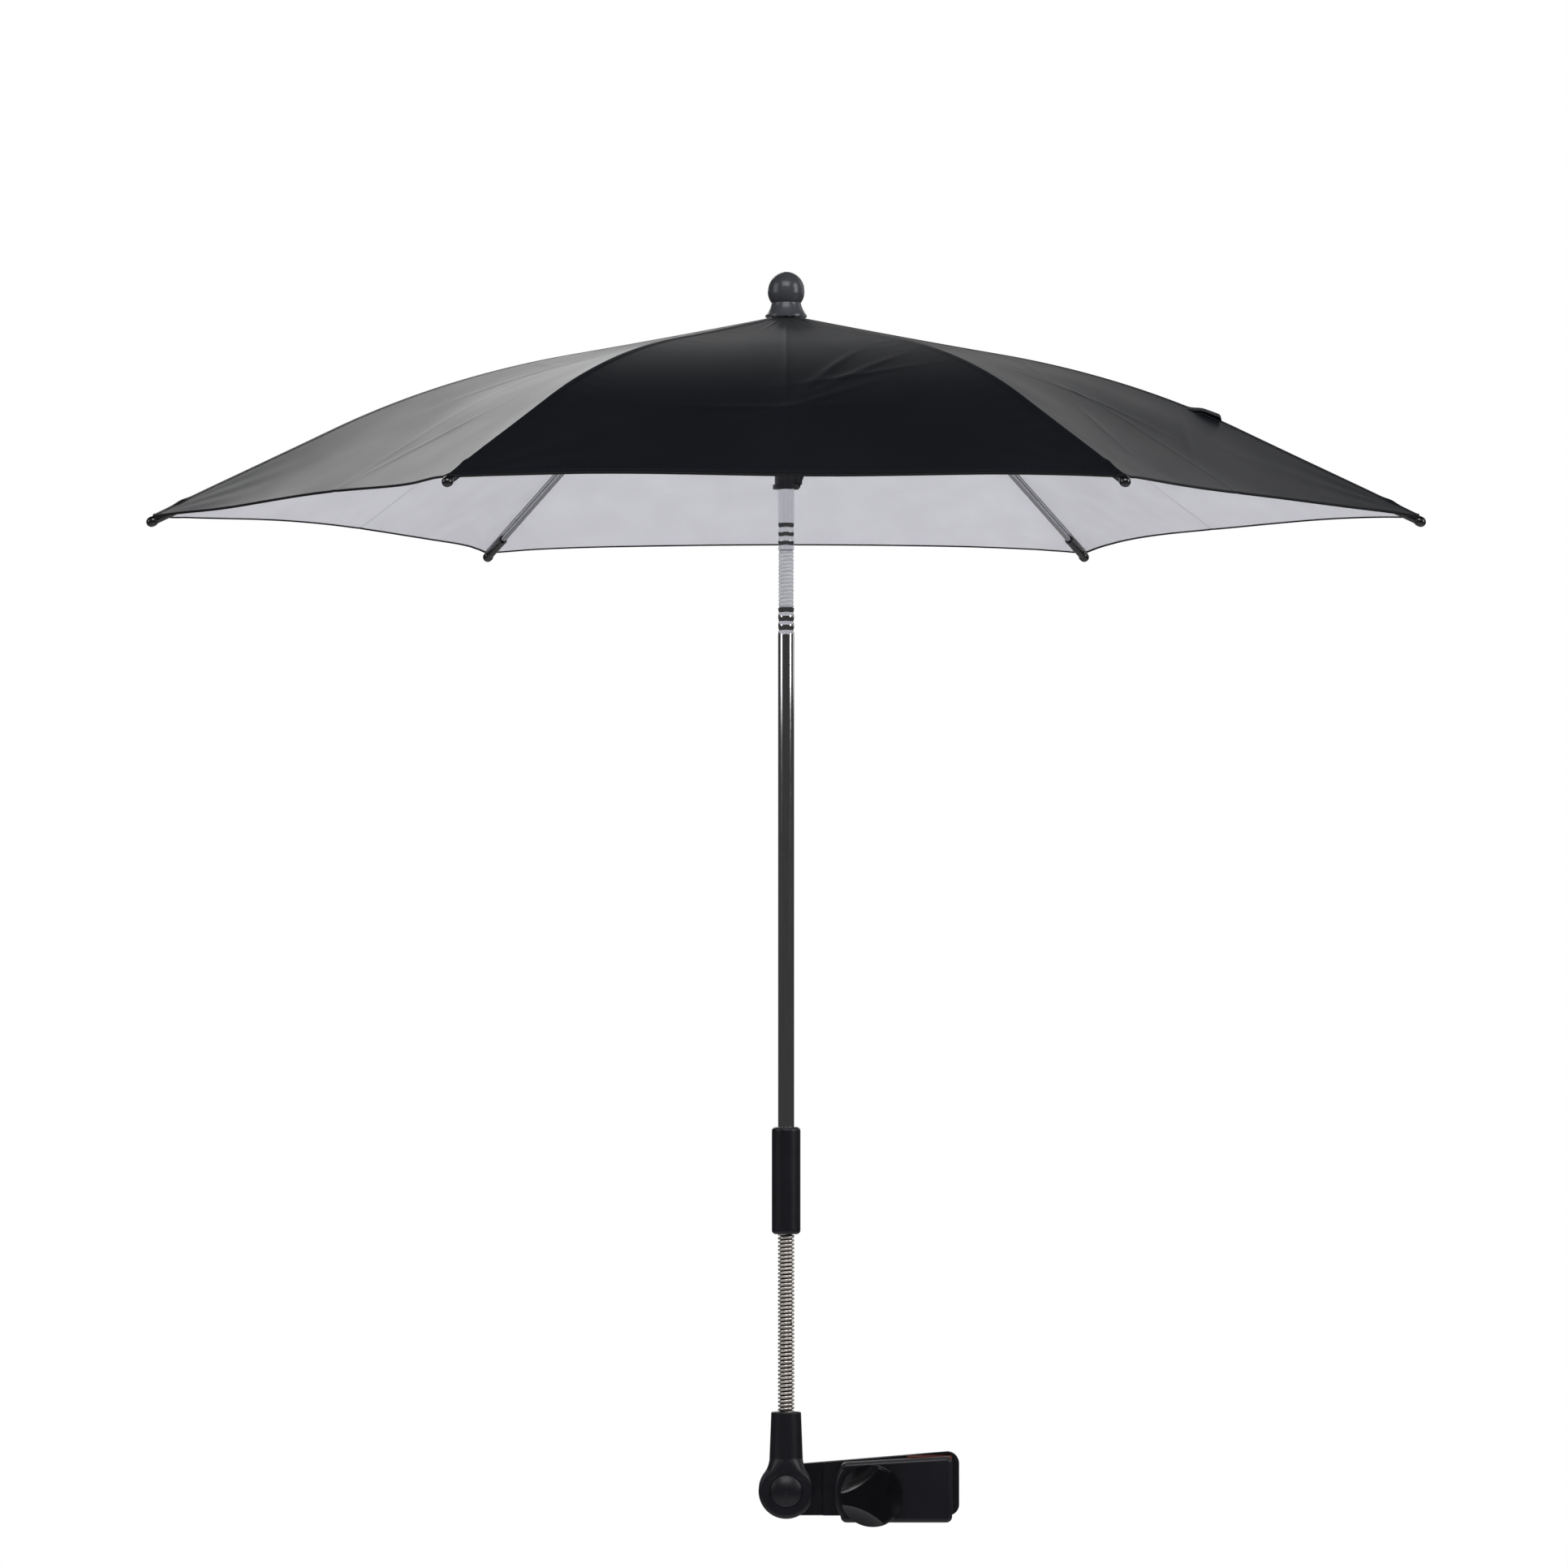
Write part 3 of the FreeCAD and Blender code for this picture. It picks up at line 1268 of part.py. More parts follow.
def make_panel(number):
    """A gore: its bent profile along the middle, swung sideways about its sag axis and cut to its plan."""
    name = f"canopy_panel_{number + 1}"
    body = new_body(name + "_bent")
    sketch = new_sketch(body, name + "_profile", "XZ_Plane")
    lower, upper = [
        bent_line(
            sketch, ("ring_r * gore_share", f"- gore_start_{side}"),
            ("rib_corner_out * gore_share", f"- gore_corner_{side}"),
            ("gore_end_out * gore_share", f"- gore_end_{side}"), "gore_bend_r",
        )
        for side in ("under", "over")
    ]
    for one, other, end in ((lower, upper, 1), (lower + 2, upper + 2, 2)):
        spots = sketch.getPoint(one, end), sketch.getPoint(other, end)
        edge = sketch.addGeometry(Part.LineSegment(*spots), False)
        sketch.addConstraint(Sketcher.Constraint("Coincident", edge, 1, one, end))
        sketch.addConstraint(Sketcher.Constraint("Coincident", edge, 2, other, end))
    swing = body.newObject("PartDesign::Revolution", name + "_swing")
    swing.Profile = sketch
    swing.ReferenceAxis = (sketch, ["H_Axis"])
    swing.Midplane = True
    swing.Angle = gore_angle
    put(body, z="gore_axis_z")
    plan = padded(
        name + "_plan",
        "XY_Plane",
        [
            ("gore_inner_out * gore_share", "- gore_side * gore_inner_out + seam_gap"),
            ("hem_corner_out * gore_share", "- gore_side * hem_corner_out + seam_gap"),
            ("hem_corner_out * gore_share", "gore_side * hem_corner_out - seam_gap", "hem_arch_r", -1),
            ("gore_inner_out * gore_share", "gore_side * gore_inner_out - seam_gap"),
        ],
        "2 * pivot_z",
    )
    panel = common(name, body, plan)
    turn = about((0, 0, 1), (number + 0.5) * 360.0 / RIBS)
    return node(put(panel, "shaft_x", "0", "0", turn), name)


for number in range(RIBS):
    make_rib(number)
    make_clip(number)
    make_stretcher(number)
    make_tip(number)
    make_panel(number)

# The strap lies along the seam over the first rib, with its outer end standing up.
strap = padded(
    "tie_strap",
    "XZ_Plane",
    [
        ("0", "0"),
        ("strap_length", "0"),
        ("strap_length", "strap_wall + strap_lift"),
        ("0", "strap_wall", "4 * strap_length", 1),
    ],
    "2 * strap_half",
    True,
)
put(
    strap, "shaft_x + strap_start_out", "0", "strap_z + rib_r + cloth_gap + cloth + seat_gap",
    about((0, 1, 0), math.degrees(strap_slope)),
)
node(strap, "tie_strap")

# Build, test and write every piece
doc.recompute()
for thing in doc.Objects:
    if "Invalid" in thing.State or "Error" in thing.State:
        raise RuntimeError(f"{thing.Name} did not build: {thing.State}")
os.makedirs("parts", exist_ok=True)
for thing in nodes:
    if thing.Shape.isNull() or not thing.Shape.isValid() or thing.Shape.Volume <= 0:
        raise RuntimeError(f"{thing.Label} is not a sound solid")
    thing.Shape.exportStep(f"parts/{thing.Label}.step")
print(len(nodes), "pieces")
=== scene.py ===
"""Pram parasol: sewn canopy, coils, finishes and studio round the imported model. Lengths in metres."""

import math

import bpy
import numpy as np
from bpy.props import FloatProperty, FloatVectorProperty, PointerProperty
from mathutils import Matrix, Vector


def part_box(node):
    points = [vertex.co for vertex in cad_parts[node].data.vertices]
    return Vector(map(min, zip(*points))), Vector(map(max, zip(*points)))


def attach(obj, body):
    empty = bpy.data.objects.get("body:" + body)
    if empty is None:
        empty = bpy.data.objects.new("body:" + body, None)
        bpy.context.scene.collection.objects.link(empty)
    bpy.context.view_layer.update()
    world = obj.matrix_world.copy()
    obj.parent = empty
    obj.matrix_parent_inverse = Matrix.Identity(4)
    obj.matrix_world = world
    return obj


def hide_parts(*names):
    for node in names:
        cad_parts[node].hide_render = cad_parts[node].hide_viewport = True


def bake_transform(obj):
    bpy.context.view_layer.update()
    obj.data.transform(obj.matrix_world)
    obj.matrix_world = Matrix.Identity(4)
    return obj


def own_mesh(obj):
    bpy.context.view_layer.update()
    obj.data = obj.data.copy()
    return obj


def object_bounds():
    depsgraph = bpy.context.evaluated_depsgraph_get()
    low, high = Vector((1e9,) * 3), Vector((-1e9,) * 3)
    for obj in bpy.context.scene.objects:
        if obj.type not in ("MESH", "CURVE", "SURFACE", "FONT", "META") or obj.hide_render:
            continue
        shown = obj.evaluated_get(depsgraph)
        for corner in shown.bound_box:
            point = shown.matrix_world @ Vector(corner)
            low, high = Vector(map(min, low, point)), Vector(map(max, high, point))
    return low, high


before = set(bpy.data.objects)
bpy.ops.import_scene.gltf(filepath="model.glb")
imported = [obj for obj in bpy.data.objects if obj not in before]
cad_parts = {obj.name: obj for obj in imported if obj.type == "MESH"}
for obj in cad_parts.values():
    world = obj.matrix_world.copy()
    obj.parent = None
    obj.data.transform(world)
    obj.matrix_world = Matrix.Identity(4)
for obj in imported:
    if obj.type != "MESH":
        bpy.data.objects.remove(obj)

bl_info = {
    "name": "Pram parasol",
    "version": (1, 0, 0),
    "blender": (4, 5, 0),
    "location": "View3D > Sidebar > Parasol",
    "description": "Sewn canopy, coils, finishes and studio for a clamp-on pram parasol",
    "category": "Object",
}

cad_low, cad_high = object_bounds()

MM = 0.001
RIBS = 6
HALF_GORE = math.pi / RIBS
SHAFT_X = float(sum(corner[0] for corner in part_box("upper_tube")) / 2)
UPWARD = (0, 0, 1)
ROUNDING = 1e-6

# Rows and columns of the sewn pieces' grids, steps along the cores, and sides of the round pieces.
CLOTH_GRID = (130, 121)
SEAM_GRID = (240, 25)
HEM_STEPS = 281
STRAP_STEPS = 24
STRAP_BEND_STEPS = 12
STRAP_COLUMNS = 21
NECK_CORE_STEPS = 60
TILT_CORE_STEPS = 40
HEM_SIDES = 10
WIRE_SIDES = 14
SPRING_SIDES = 12
THREAD_SIDES = 8
CORE_SIDES = 32

# The cloth's relief: over how far each kind of fold repeats, how far from its start it fades, and its height
# as a share of the pucker's.
RELIEF_SEED = 40
TIP_DIP_REACH = 19 * MM
CREASE_FADE = 2.0 * MM
CREASE_STARTS = (20 * MM, 60 * MM)
PULL_PITCH = 13 * MM
PULL_DRIFT = 31 * MM
PULL_SWELL = 23 * MM
PULL_REACH = 10 * MM
GATHERS_PER_RADIAN = 54
GATHER_REACH = 48 * MM
GATHER_SHARE = 0.5
WAVE_ACROSS = 41 * MM
WAVE_ALONG = 58 * MM
WAVE_EDGE = 60 * MM
FAN_FOLDS_PER_RADIAN = 11
FAN_FADE = 45 * MM
FAN_START = 40 * MM
FAN_SHARE = 1.4
STORAGE_CREASES = 5
STORAGE_OUT_MM = (90, 250)
STORAGE_ACROSS_MM = (-70, 70)
STORAGE_LEAN = (-1.2, 1.2)
STORAGE_REACH = 38 * MM
STORAGE_WIDTH = 2.6 * MM
STORAGE_SHARE = 1.5
LEVEL_AT_SEAM = 8 * MM

# The laps under the next sheet: where they narrow, their least width and drop, and where their columns lie.
LAP_NARROWS = (150 * MM, 240 * MM)
LEAST_LAP = 0.4 * MM
LEAST_DROP = 0.08 * MM
LAP_LIMIT = 0.6 * HALF_GORE
LAP_COLUMNS = (0.2, 0.6, 1.0)

# Weave and stitching, in the seams' shape and in the cloth's material. Threads 0.25 mm apart are too fine to
# show, so they are drawn 0.9 mm apart. The wave texture turns by 20 radians over one unit at a scale of 1.
DRAWN_THREAD = 0.9 * MM
WEAVE_SCALE = 2 * math.pi / DRAWN_THREAD / 20
STITCH = 2.6 * MM
STITCH_HALF = 0.45 * MM
STITCH_SHOWN = 1.9 * MM
STITCH_DEPTH = 0.09 * MM
SEAM_ROW = 2.2 * MM
HEM_ROW = 3.2 * MM

# Seams: start past the crown hole, width of their soft edges, and the share of their rise left at the edge.
SEAM_START = 2 * MM
SEAM_EDGE = 1.6 * MM
SEAM_EDGE_SHARE = 0.15
# Distance from the hem that seams are given, so that the hem's stitches stay off them.
OFF_HEM = 1.0

# The seam's bump over a cap's shoulder.
CAP_LENGTH = 3.5 * MM
CAP_HALF = 2.4 * MM
CAP_RISE = 0.7 * MM

# The strap: radius of its fold, lift of its free end, height over the seam, and the depth and length let in.
STRAP_BEND = 1.15 * MM
STRAP_END_LIFT = 0.75 * MM
STRAP_ABOVE = 0.5 * MM
STRAP_SINK = 1.7 * MM
STRAP_SUNK = 9 * MM
STRAP_WALL = 0.7 * MM

# Height where the neck's two bends meet.
NECK_MEETS = 95 * MM
# How far the tilt coil's sleeve runs past the wire's middle, below and above.
TILT_SLEEVE_ENDS = (0.9 * MM, 1.6 * MM)

# Small springs: start past the end of their box, wire radius and helix.
BUTTON_START = 0.4 * MM
BUTTON_WIRE = 0.42 * MM
BUTTON_HELIX = {"radius": 4.6 * MM, "pitch": 1.6 * MM, "turns": 4}
CATCH_START = 0.22 * MM
CATCH_WIRE = 0.23 * MM
CATCH_HELIX = {"radius": 1.0 * MM, "pitch": 0.9 * MM, "turns": 2.5}

# Thread of the clamp screw: where it starts, its length, radius and ridge.
THREAD_START = -4.6 * MM
THREAD_RUN = 9.2 * MM
THREAD_RADIUS = 2.8 * MM
THREAD_RIDGE = 0.24 * MM

# Softboxes: distance from what they face, its height, and how far before the shaft the bounced light lies.
SOFTBOX_AWAY = 2.4
LIGHTS_AIM_UP = 0.5
BOUNCE_FORWARD = 0.1
BOUNCE_SPREAD = (3.5, 3.5)
FLOOR_RADIUS = 3
FLOOR_STEPS = 96
# Where the floor's and the surround's glow start and end, and how strong they are there, by socket.
FLOOR_GLOW = {1: 0.4, 2: 2.2, 3: 0.5, 4: 0.97}
BACK_LIGHT = {1: 0.8, 2: 0.96, 3: 0.05, 4: 0.3}
LOW_LIGHT = {1: 0.25, 2: 0.55, 3: 1.0, 4: 0.03}


def linear(hex_code):
    """The linear RGB of an sRGB hex value: each channel c is c / 12.92 when dark, else
    ((c + 0.055) / 1.055) ^ 2.4."""
    channels = np.array([int(hex_code[i : i + 2], 16) for i in (1, 3, 5)]) / 255
    bright = ((channels + 0.055) / 1.055) ** 2.4
    return tuple(float(c) for c in np.where(channels <= 0.04045, channels / 12.92, bright))


def length(name, description, millimetres):
    """A length property with its default given in millimetres."""
    return FloatProperty(
        name=name, description=description, default=millimetres * MM, unit="LENGTH", precision=5
    )


def colour(name, description, hex_code):
    """A colour property with its default given as an sRGB hex value."""
    return FloatVectorProperty(
        name=name, description=description, default=linear(hex_code), subtype="COLOR", size=3, min=0, max=1
    )


def power(name, description, watts):
    """A light's power property."""
    return FloatProperty(name=name, description=description, default=watts, subtype="POWER")


class CanopySizes(bpy.types.PropertyGroup):
    """Sizes of the sewn canopy, on the same lines as the ribs."""

    crown_out: length("Crown out", "Rib pivot's distance from the shaft's axis", 9)
    crown_up: length("Crown up", "Height of the rib pivots", 660.8)
    corner_out: length("Bend out", "Distance of the ribs' bend from the axis", 194.3)
    corner_up: length("Bend up", "Height of the ribs' bend", 628.1)
    tip_out: length("Tip out", "Distance of the line's end at a tip", 365.6)
    tip_up: length("Tip up", "Height of the line's end at a tip", 546.6)
    cloth_lift: length("Cloth lift", "Outer face of the cloth above a rib's line", 4.25)
    cloth_thick: length("Cloth thickness", "Thickness of the lined cloth", 0.5)
    bend_radius: length("Bend radius", "Radius of a gore where the ribs bend", 395)
    sweep_radius: length("Sweep radius", "Radius of a gore across, at the crown", 1150)
    hole: length("Crown hole", "Radius of the hole under the finial", 7.6)
    hem_out: length("Hem out", "Distance of the hem's corners from the axis", 359)
    hem_arch: length("Hem arch", "Radius of the hem between two tips", 700)
    corner_half: length("Corner half width", "Half the width of the cloth over a cap", 2.4)
    tip_dip: length("Tip dip", "How far the cloth is drawn down on to a cap", 0.6)
    hem_bead: length("Hem bead", "Radius of the rolled hem", 0.75)
    seam_half: length("Seam half width", "Half the width of a felled seam", 3.4)
    seam_rise: length("Seam rise", "Height of a felled seam above the cloth", 0.25)
    seam_thick: length("Seam thickness", "Cloth layers in a felled seam", 1.0)
    cap_out: length("Cap out", "Distance of the caps' shoulders from the axis", 344)
    crease: length("Crease", "Height of the fold line down each gore", 0.16)
    pucker: length("Pucker", "Height of the pulls along a seam", 0.24)
    slack: length("Slack", "Depth of the soft waves in a gore", 1.1)
    lap: length("Lap", "Widest part of the lap under the next sheet", 17)
    lap_drop: length("Lap drop", "How far a lap lies below the next sheet's face", 0.75)
    fold_keep: FloatProperty(
        name="Fold keep", description="Share of a gore's width left when folded", default=0.25
    )


class CoilSizes(bpy.types.PropertyGroup):
    """Sizes of the wound springs."""

    neck_radius: length("Neck radius", "Radius of the neck's coil to the wire's middle", 3.94)
    neck_wire: length("Neck wire", "Radius of the neck's wire", 0.76)
    neck_pitch: length("Neck pitch", "Rise of one turn of the neck", 2.2)
    neck_start: length("Neck start", "Height of the neck's first turn", 38.05)
    neck_turns: FloatProperty(name="Neck turns", description="Turns of the neck", default=51.5)
    # The neck's core is black and shows between the turns as painted shade.
    neck_core: length("Neck core", "Radius of the filler under the neck's turns", 3.35)
    tilt_radius: length("Tilt radius", "Radius of the tilt coil to the wire's middle", 3.52)
    tilt_wire: length("Tilt wire", "Radius of the tilt coil's wire", 0.88)
    tilt_pitch: length("Tilt pitch", "Rise of one turn of the tilt coil", 2.15)
    tilt_start: length("Tilt start", "Height of the tilt coil's first turn", 501.1)
    tilt_turns: FloatProperty(name="Tilt turns", description="Turns of the tilt coil", default=14)
    tilt_core: length("Tilt core", "Radius of the sleeve under the tilt coil", 4.0)
    thread_pitch: length("Thread pitch", "Pitch of the clamp screw's thread", 1.0)


class FinishColours(bpy.types.PropertyGroup):
    """Colours of the materials."""

    cloth: colour("Cloth", "Outer face of the canopy", "#16191F")
    lining: colour("Lining", "Silver coat inside the canopy", "#D2D2D9")
    binding: colour("Binding", "Rolled hem and stitching", "#0D0E11")
    moulding: colour("Moulding", "Matt black mouldings", "#16161C")
    knob: colour("Knob", "Glossier black mouldings", "#0F0F13")
    finial: colour("Finial", "Satin grey of the finial", "#55565C")
    rubber: colour("Rubber", "Clamp liners", "#6E3A30")
    chrome: colour("Chrome", "Plated tube", "#E2E2E5")
    wire: colour("Wire", "Ribs and struts", "#C4C4C8")
    coil: colour("Coil", "Neck coil and small steel", "#FFF4EE")
    sleeve: colour("Sleeve", "Coated tilt coil", "#E4E5EA")
    tip: colour("Tip", "Caps on the ribs", "#1C1C1F")


class StudioSizes(bpy.types.PropertyGroup):
    """Camera, light and floor."""

    distance: length("Distance", "Camera to shaft", 4850)
    eye_up: length("Eye height", "Height of the camera", 217)
    aim_up: length("Aim height", "Height on the shaft at the picture's middle", 400)
    aim_left: length("Aim left", "How far left of the shaft the picture's middle lies", 1.2)
    lens: FloatProperty(
        name="Lens", description="Focal length in millimetres on a 36 mm sensor", default=196.4
    )
    floor_drop: length("Floor drop", "Floor below the clamp", 850)
    bounce_drop: length("Bounce drop", "Bounced light below the clamp", 840)
    left_power: power("Left light", "Tall softbox on the left", 9)
    right_power: power("Right light", "Tall softbox on the right, in front", 17)
    far_power: power("Far right light", "Tall softbox on the right, behind", 3)
    top_power: power("Top light", "Softbox high in front", 23)
    rim_power: power("Rim light", "Softbox behind the canopy, on the left", 9.6)
    edge_power: power("Edge light", "Softbox behind the canopy, on the right", 2.0)
    bounce_power: power("Bounce", "Light thrown up by the white floor", 40)


def ramp(values, low, high):
    """Smooth step: 0 below low, 1 above high, and 3 x^2 - 2 x^3 between."""
    x = np.clip((values - low) / (high - low), 0, 1)
    return x * x * (3 - 2 * x)


def grid_faces(rows, columns, closed=False):
    """Quads of a rows by columns grid of points, joined round the columns when closed."""
    row = np.arange(rows - 1)[:, None]
    column = np.arange(columns if closed else columns - 1)[None, :]
    after = (column + 1) % columns
    here, beyond = row * columns, (row + 1) * columns
    corners = (here + column, here + after, beyond + after, beyond + column)
    return np.stack(np.broadcast_arrays(*corners), axis=-1).reshape(-1, 4)


def make_piece(name, points, faces, caps=()):
    """A mesh object at the origin from arrays of points and quads, with extra polygons for its ends."""
    mesh = bpy.data.meshes.new(name)
    mesh.from_pydata(points.tolist(), [], faces.tolist() + [list(cap) for cap in caps])
    mesh.polygons.foreach_set("use_smooth", np.ones(len(mesh.polygons), dtype=bool))
    mesh.update()
    piece = bpy.data.objects.new(name, mesh)
    bpy.context.collection.objects.link(piece)
    return piece


def add_uv(piece, name, pairs):
    """A UV map whose values are given for each vertex."""
    mesh = piece.data
    corner = np.empty(len(mesh.loops), dtype=np.int64)
    mesh.loops.foreach_get("vertex_index", corner)
    layer = mesh.uv_layers.new(name=name)
    layer.data.foreach_set("uv", pairs[corner].astype(np.float32).ravel())


def helix(origin, axis, start, radius, pitch, turns, steps=28):
    """Points of a right-handed helix: radius (cos a, sin a) across the axis, and pitch a / 2 pi along it."""
    angle = np.linspace(0, 2 * math.pi * turns, int(turns * steps) + 1)
    along = np.array(axis, float)
    first = np.array(start, float)
    second = np.cross(along, first)
    rise = (pitch * angle / (2 * math.pi))[:, None]
    turn = np.cos(angle)[:, None] * first + np.sin(angle)[:, None] * second
    return np.array(origin) + radius * turn + rise * along


def make_tube(name, path, axis, radius, around):
    """A round profile carried along a path, with end caps: centre + radius (cos a side + sin a over).
    Side is square to the path and the axis, and over is square to the path and side."""
    along = np.gradient(path, axis=0)
    along /= np.linalg.norm(along, axis=1, keepdims=True)
    side = np.cross(along, np.array(axis, float))
    side /= np.linalg.norm(side, axis=1, keepdims=True)
    over = np.cross(side, along)
    angle = (np.arange(around) * (2 * math.pi / around))[None, :, None]
    ring = np.cos(angle) * side[:, None, :] + np.sin(angle) * over[:, None, :]
    points = (path[:, None, :] + radius * ring).reshape(-1, 3)
    first = np.arange(around)
    caps = (first, (len(path) - 1) * around + first[::-1])
    return make_piece(name, points, grid_faces(len(path), around, closed=True)[:, ::-1], caps)


def make_core(name, heights, radius):
    """A plain round core up the shaft's axis, through these heights."""
    path = np.stack([np.full(len(heights), SHAFT_X), np.zeros(len(heights)), heights], axis=1)
    return make_tube(name, path, (1, 0, 0), radius, CORE_SIDES)


def gore_swing(sizes, mid):
    """Distance from the cloth to the gore's cross axis, for a distance mid along the gore's middle line: two
    straight lines through the crown, bend and tip spots, joined by an arc that touches both."""
    axis_up = sizes.crown_up + sizes.sweep_radius
    outs = np.array([sizes.crown_out, sizes.corner_out, sizes.tip_out])
    ups = np.array([sizes.crown_up, sizes.corner_up, sizes.tip_up]) + sizes.cloth_lift
    swings = np.hypot(axis_up - ups, outs * math.sin(HALF_GORE))
    spots = np.stack([outs * math.cos(HALF_GORE), swings], axis=1)
    lean = np.arctan2(*np.diff(spots, axis=0).T[::-1])
    reach = sizes.bend_radius * math.tan((lean[1] - lean[0]) / 2)
    start = spots[1] - reach * np.array([math.cos(lean[0]), math.sin(lean[0])])
    middle = start + sizes.bend_radius * np.array([-math.sin(lean[0]), math.cos(lean[0])])
    finish = spots[1, 0] + reach * math.cos(lean[1])
    inner = spots[0, 1] + (mid - spots[0, 0]) * math.tan(lean[0])
    outer = spots[1, 1] + (mid - spots[1, 0]) * math.tan(lean[1])
    inside = np.sqrt(np.maximum(sizes.bend_radius**2 - (mid - middle[0]) ** 2, 0))
    return np.where(mid < start[0], inner, np.where(mid > finish, outer, middle[1] - inside))


def corner_gap(sizes, mid, across):
    """Distance from the nearer of a gore's two hem corners."""
    corner_mid = sizes.hem_out * math.cos(HALF_GORE)
    corner_across = sizes.hem_out * math.sin(HALF_GORE)
    return np.hypot(mid - corner_mid, np.abs(across) - corner_across)


def gore_height(sizes, mid, across):
    """Height of the cloth: the cross axis's height less sqrt(swing^2 - across^2), less a dip on to each cap,
    which fades from it as e^-(distance / reach)^2."""
    dip = sizes.tip_dip * np.exp(-((corner_gap(sizes, mid, across) / TIP_DIP_REACH) ** 2))
    drop = np.sqrt(gore_swing(sizes, mid) ** 2 - across**2)
    return sizes.crown_up + sizes.sweep_radius - drop - dip


def from_seam(out, gap):
    """A gore's middle and across distances for a spot on its edge's rib line at out, and gap to its side."""
    mid = out * math.cos(HALF_GORE) + gap * math.sin(HALF_GORE)
    return mid, out * math.sin(HALF_GORE) - gap * math.cos(HALF_GORE)


def hem_reach(sizes, slope):
    """Distance along the middle line where a ray, across = slope x mid, meets the hem's arc."""
    corner_mid = sizes.hem_out * math.cos(HALF_GORE)
    corner_across = sizes.hem_out * math.sin(HALF_GORE)
    centre = corner_mid + math.sqrt(sizes.hem_arch**2 - corner_across**2)
    spread = 1 + slope**2
    return (centre - np.sqrt(centre**2 - spread * (centre**2 - sizes.hem_arch**2))) / spread


def gore_relief(sizes, gore, mid, across, hem_gap):
    """Small heights on gore number gore, all level at the seams: a fold line down the middle, pulls that run
    off the seams, gathers at the crown, soft waves to the hem, folds that fan from the tips and a few
    storage creases. Each is a height times sines or a smooth step, fading with distance from its start."""
    drawn = np.random.default_rng(RELIEF_SEED + gore)
    out = np.hypot(mid, across)
    seam_gap = (mid * math.tan(HALF_GORE) - np.abs(across)) * math.cos(HALF_GORE)
    seam_run = mid * math.cos(HALF_GORE) + np.abs(across) * math.sin(HALF_GORE)
    side = np.where(across < 0, 1.0, 0.0)
    relief = sizes.crease * np.exp(-np.abs(across) / CREASE_FADE) * ramp(out, *CREASE_STARTS)
    # Each sine starts at another place on each gore, so that no two gores match.
    drift = 3 * np.sin(seam_run / PULL_DRIFT)
    beat = np.sin(seam_run / PULL_PITCH * 2 * math.pi + drift + gore + 2 * side)
    swell = 0.5 + 0.5 * np.sin(seam_run / PULL_SWELL + 1.7 * gore + side)
    relief += sizes.pucker * beat * swell * np.exp(-seam_gap / PULL_REACH)
    gather = np.cos(np.arctan2(across, mid) * GATHERS_PER_RADIAN + gore)
    relief += GATHER_SHARE * sizes.pucker * gather * np.exp(-((out / GATHER_REACH) ** 2))
    wave = np.sin(across / WAVE_ACROSS + 2.1 * gore) * np.sin(mid / WAVE_ALONG + 0.7 * gore)
    relief += sizes.slack * wave * ramp(seam_gap, 0, WAVE_EDGE)
    corner = corner_gap(sizes, mid, across)
    fan = np.arctan2(hem_gap, np.maximum(seam_gap, ROUNDING))
    spread = np.exp(-corner / FAN_FADE) * (1 - np.exp(-((corner / FAN_START) ** 2)))
    relief += FAN_SHARE * sizes.pucker * np.sin(fan * FAN_FOLDS_PER_RADIAN + gore) * spread
    mids = drawn.uniform(*STORAGE_OUT_MM, STORAGE_CREASES) * MM
    acrosses = drawn.uniform(*STORAGE_ACROSS_MM, STORAGE_CREASES) * MM
    leans = drawn.uniform(*STORAGE_LEAN, STORAGE_CREASES)
    for spot_mid, spot_across, lean in zip(mids, acrosses, leans):
        off = (mid - spot_mid) * math.cos(lean) + (across - spot_across) * math.sin(lean)
        run = (across - spot_across) * math.cos(lean) - (mid - spot_mid) * math.sin(lean)
        fade = np.exp(-((run / STORAGE_REACH) ** 2))
        relief += STORAGE_SHARE * sizes.pucker * np.exp(-((off / STORAGE_WIDTH) ** 2)) * fade
    return relief * (1 - np.exp(-((seam_gap / LEVEL_AT_SEAM) ** 4)))


def rib_frame(rib):
    """Outward and sideways unit vectors of rib number rib, 1 to 6."""
    turn = 2 * math.pi / RIBS * (rib - 1)
    outward = np.array([math.cos(turn), math.sin(turn), 0])
    sideways = np.array([-math.sin(turn), math.cos(turn), 0])
    return outward, sideways


def gore_before(rib):
    """Number of the gore on the other side of a rib than its own."""
    return (rib - 2) % RIBS + 1


def from_rib(rib, out, aside, up):
    """World points from a rib's own outward and sideways distances and heights."""
    outward, sideways = rib_frame(rib)
    points = out[..., None] * outward + aside[..., None] * sideways
    points[..., 0] += SHAFT_X
    points[..., 2] = up
    return points


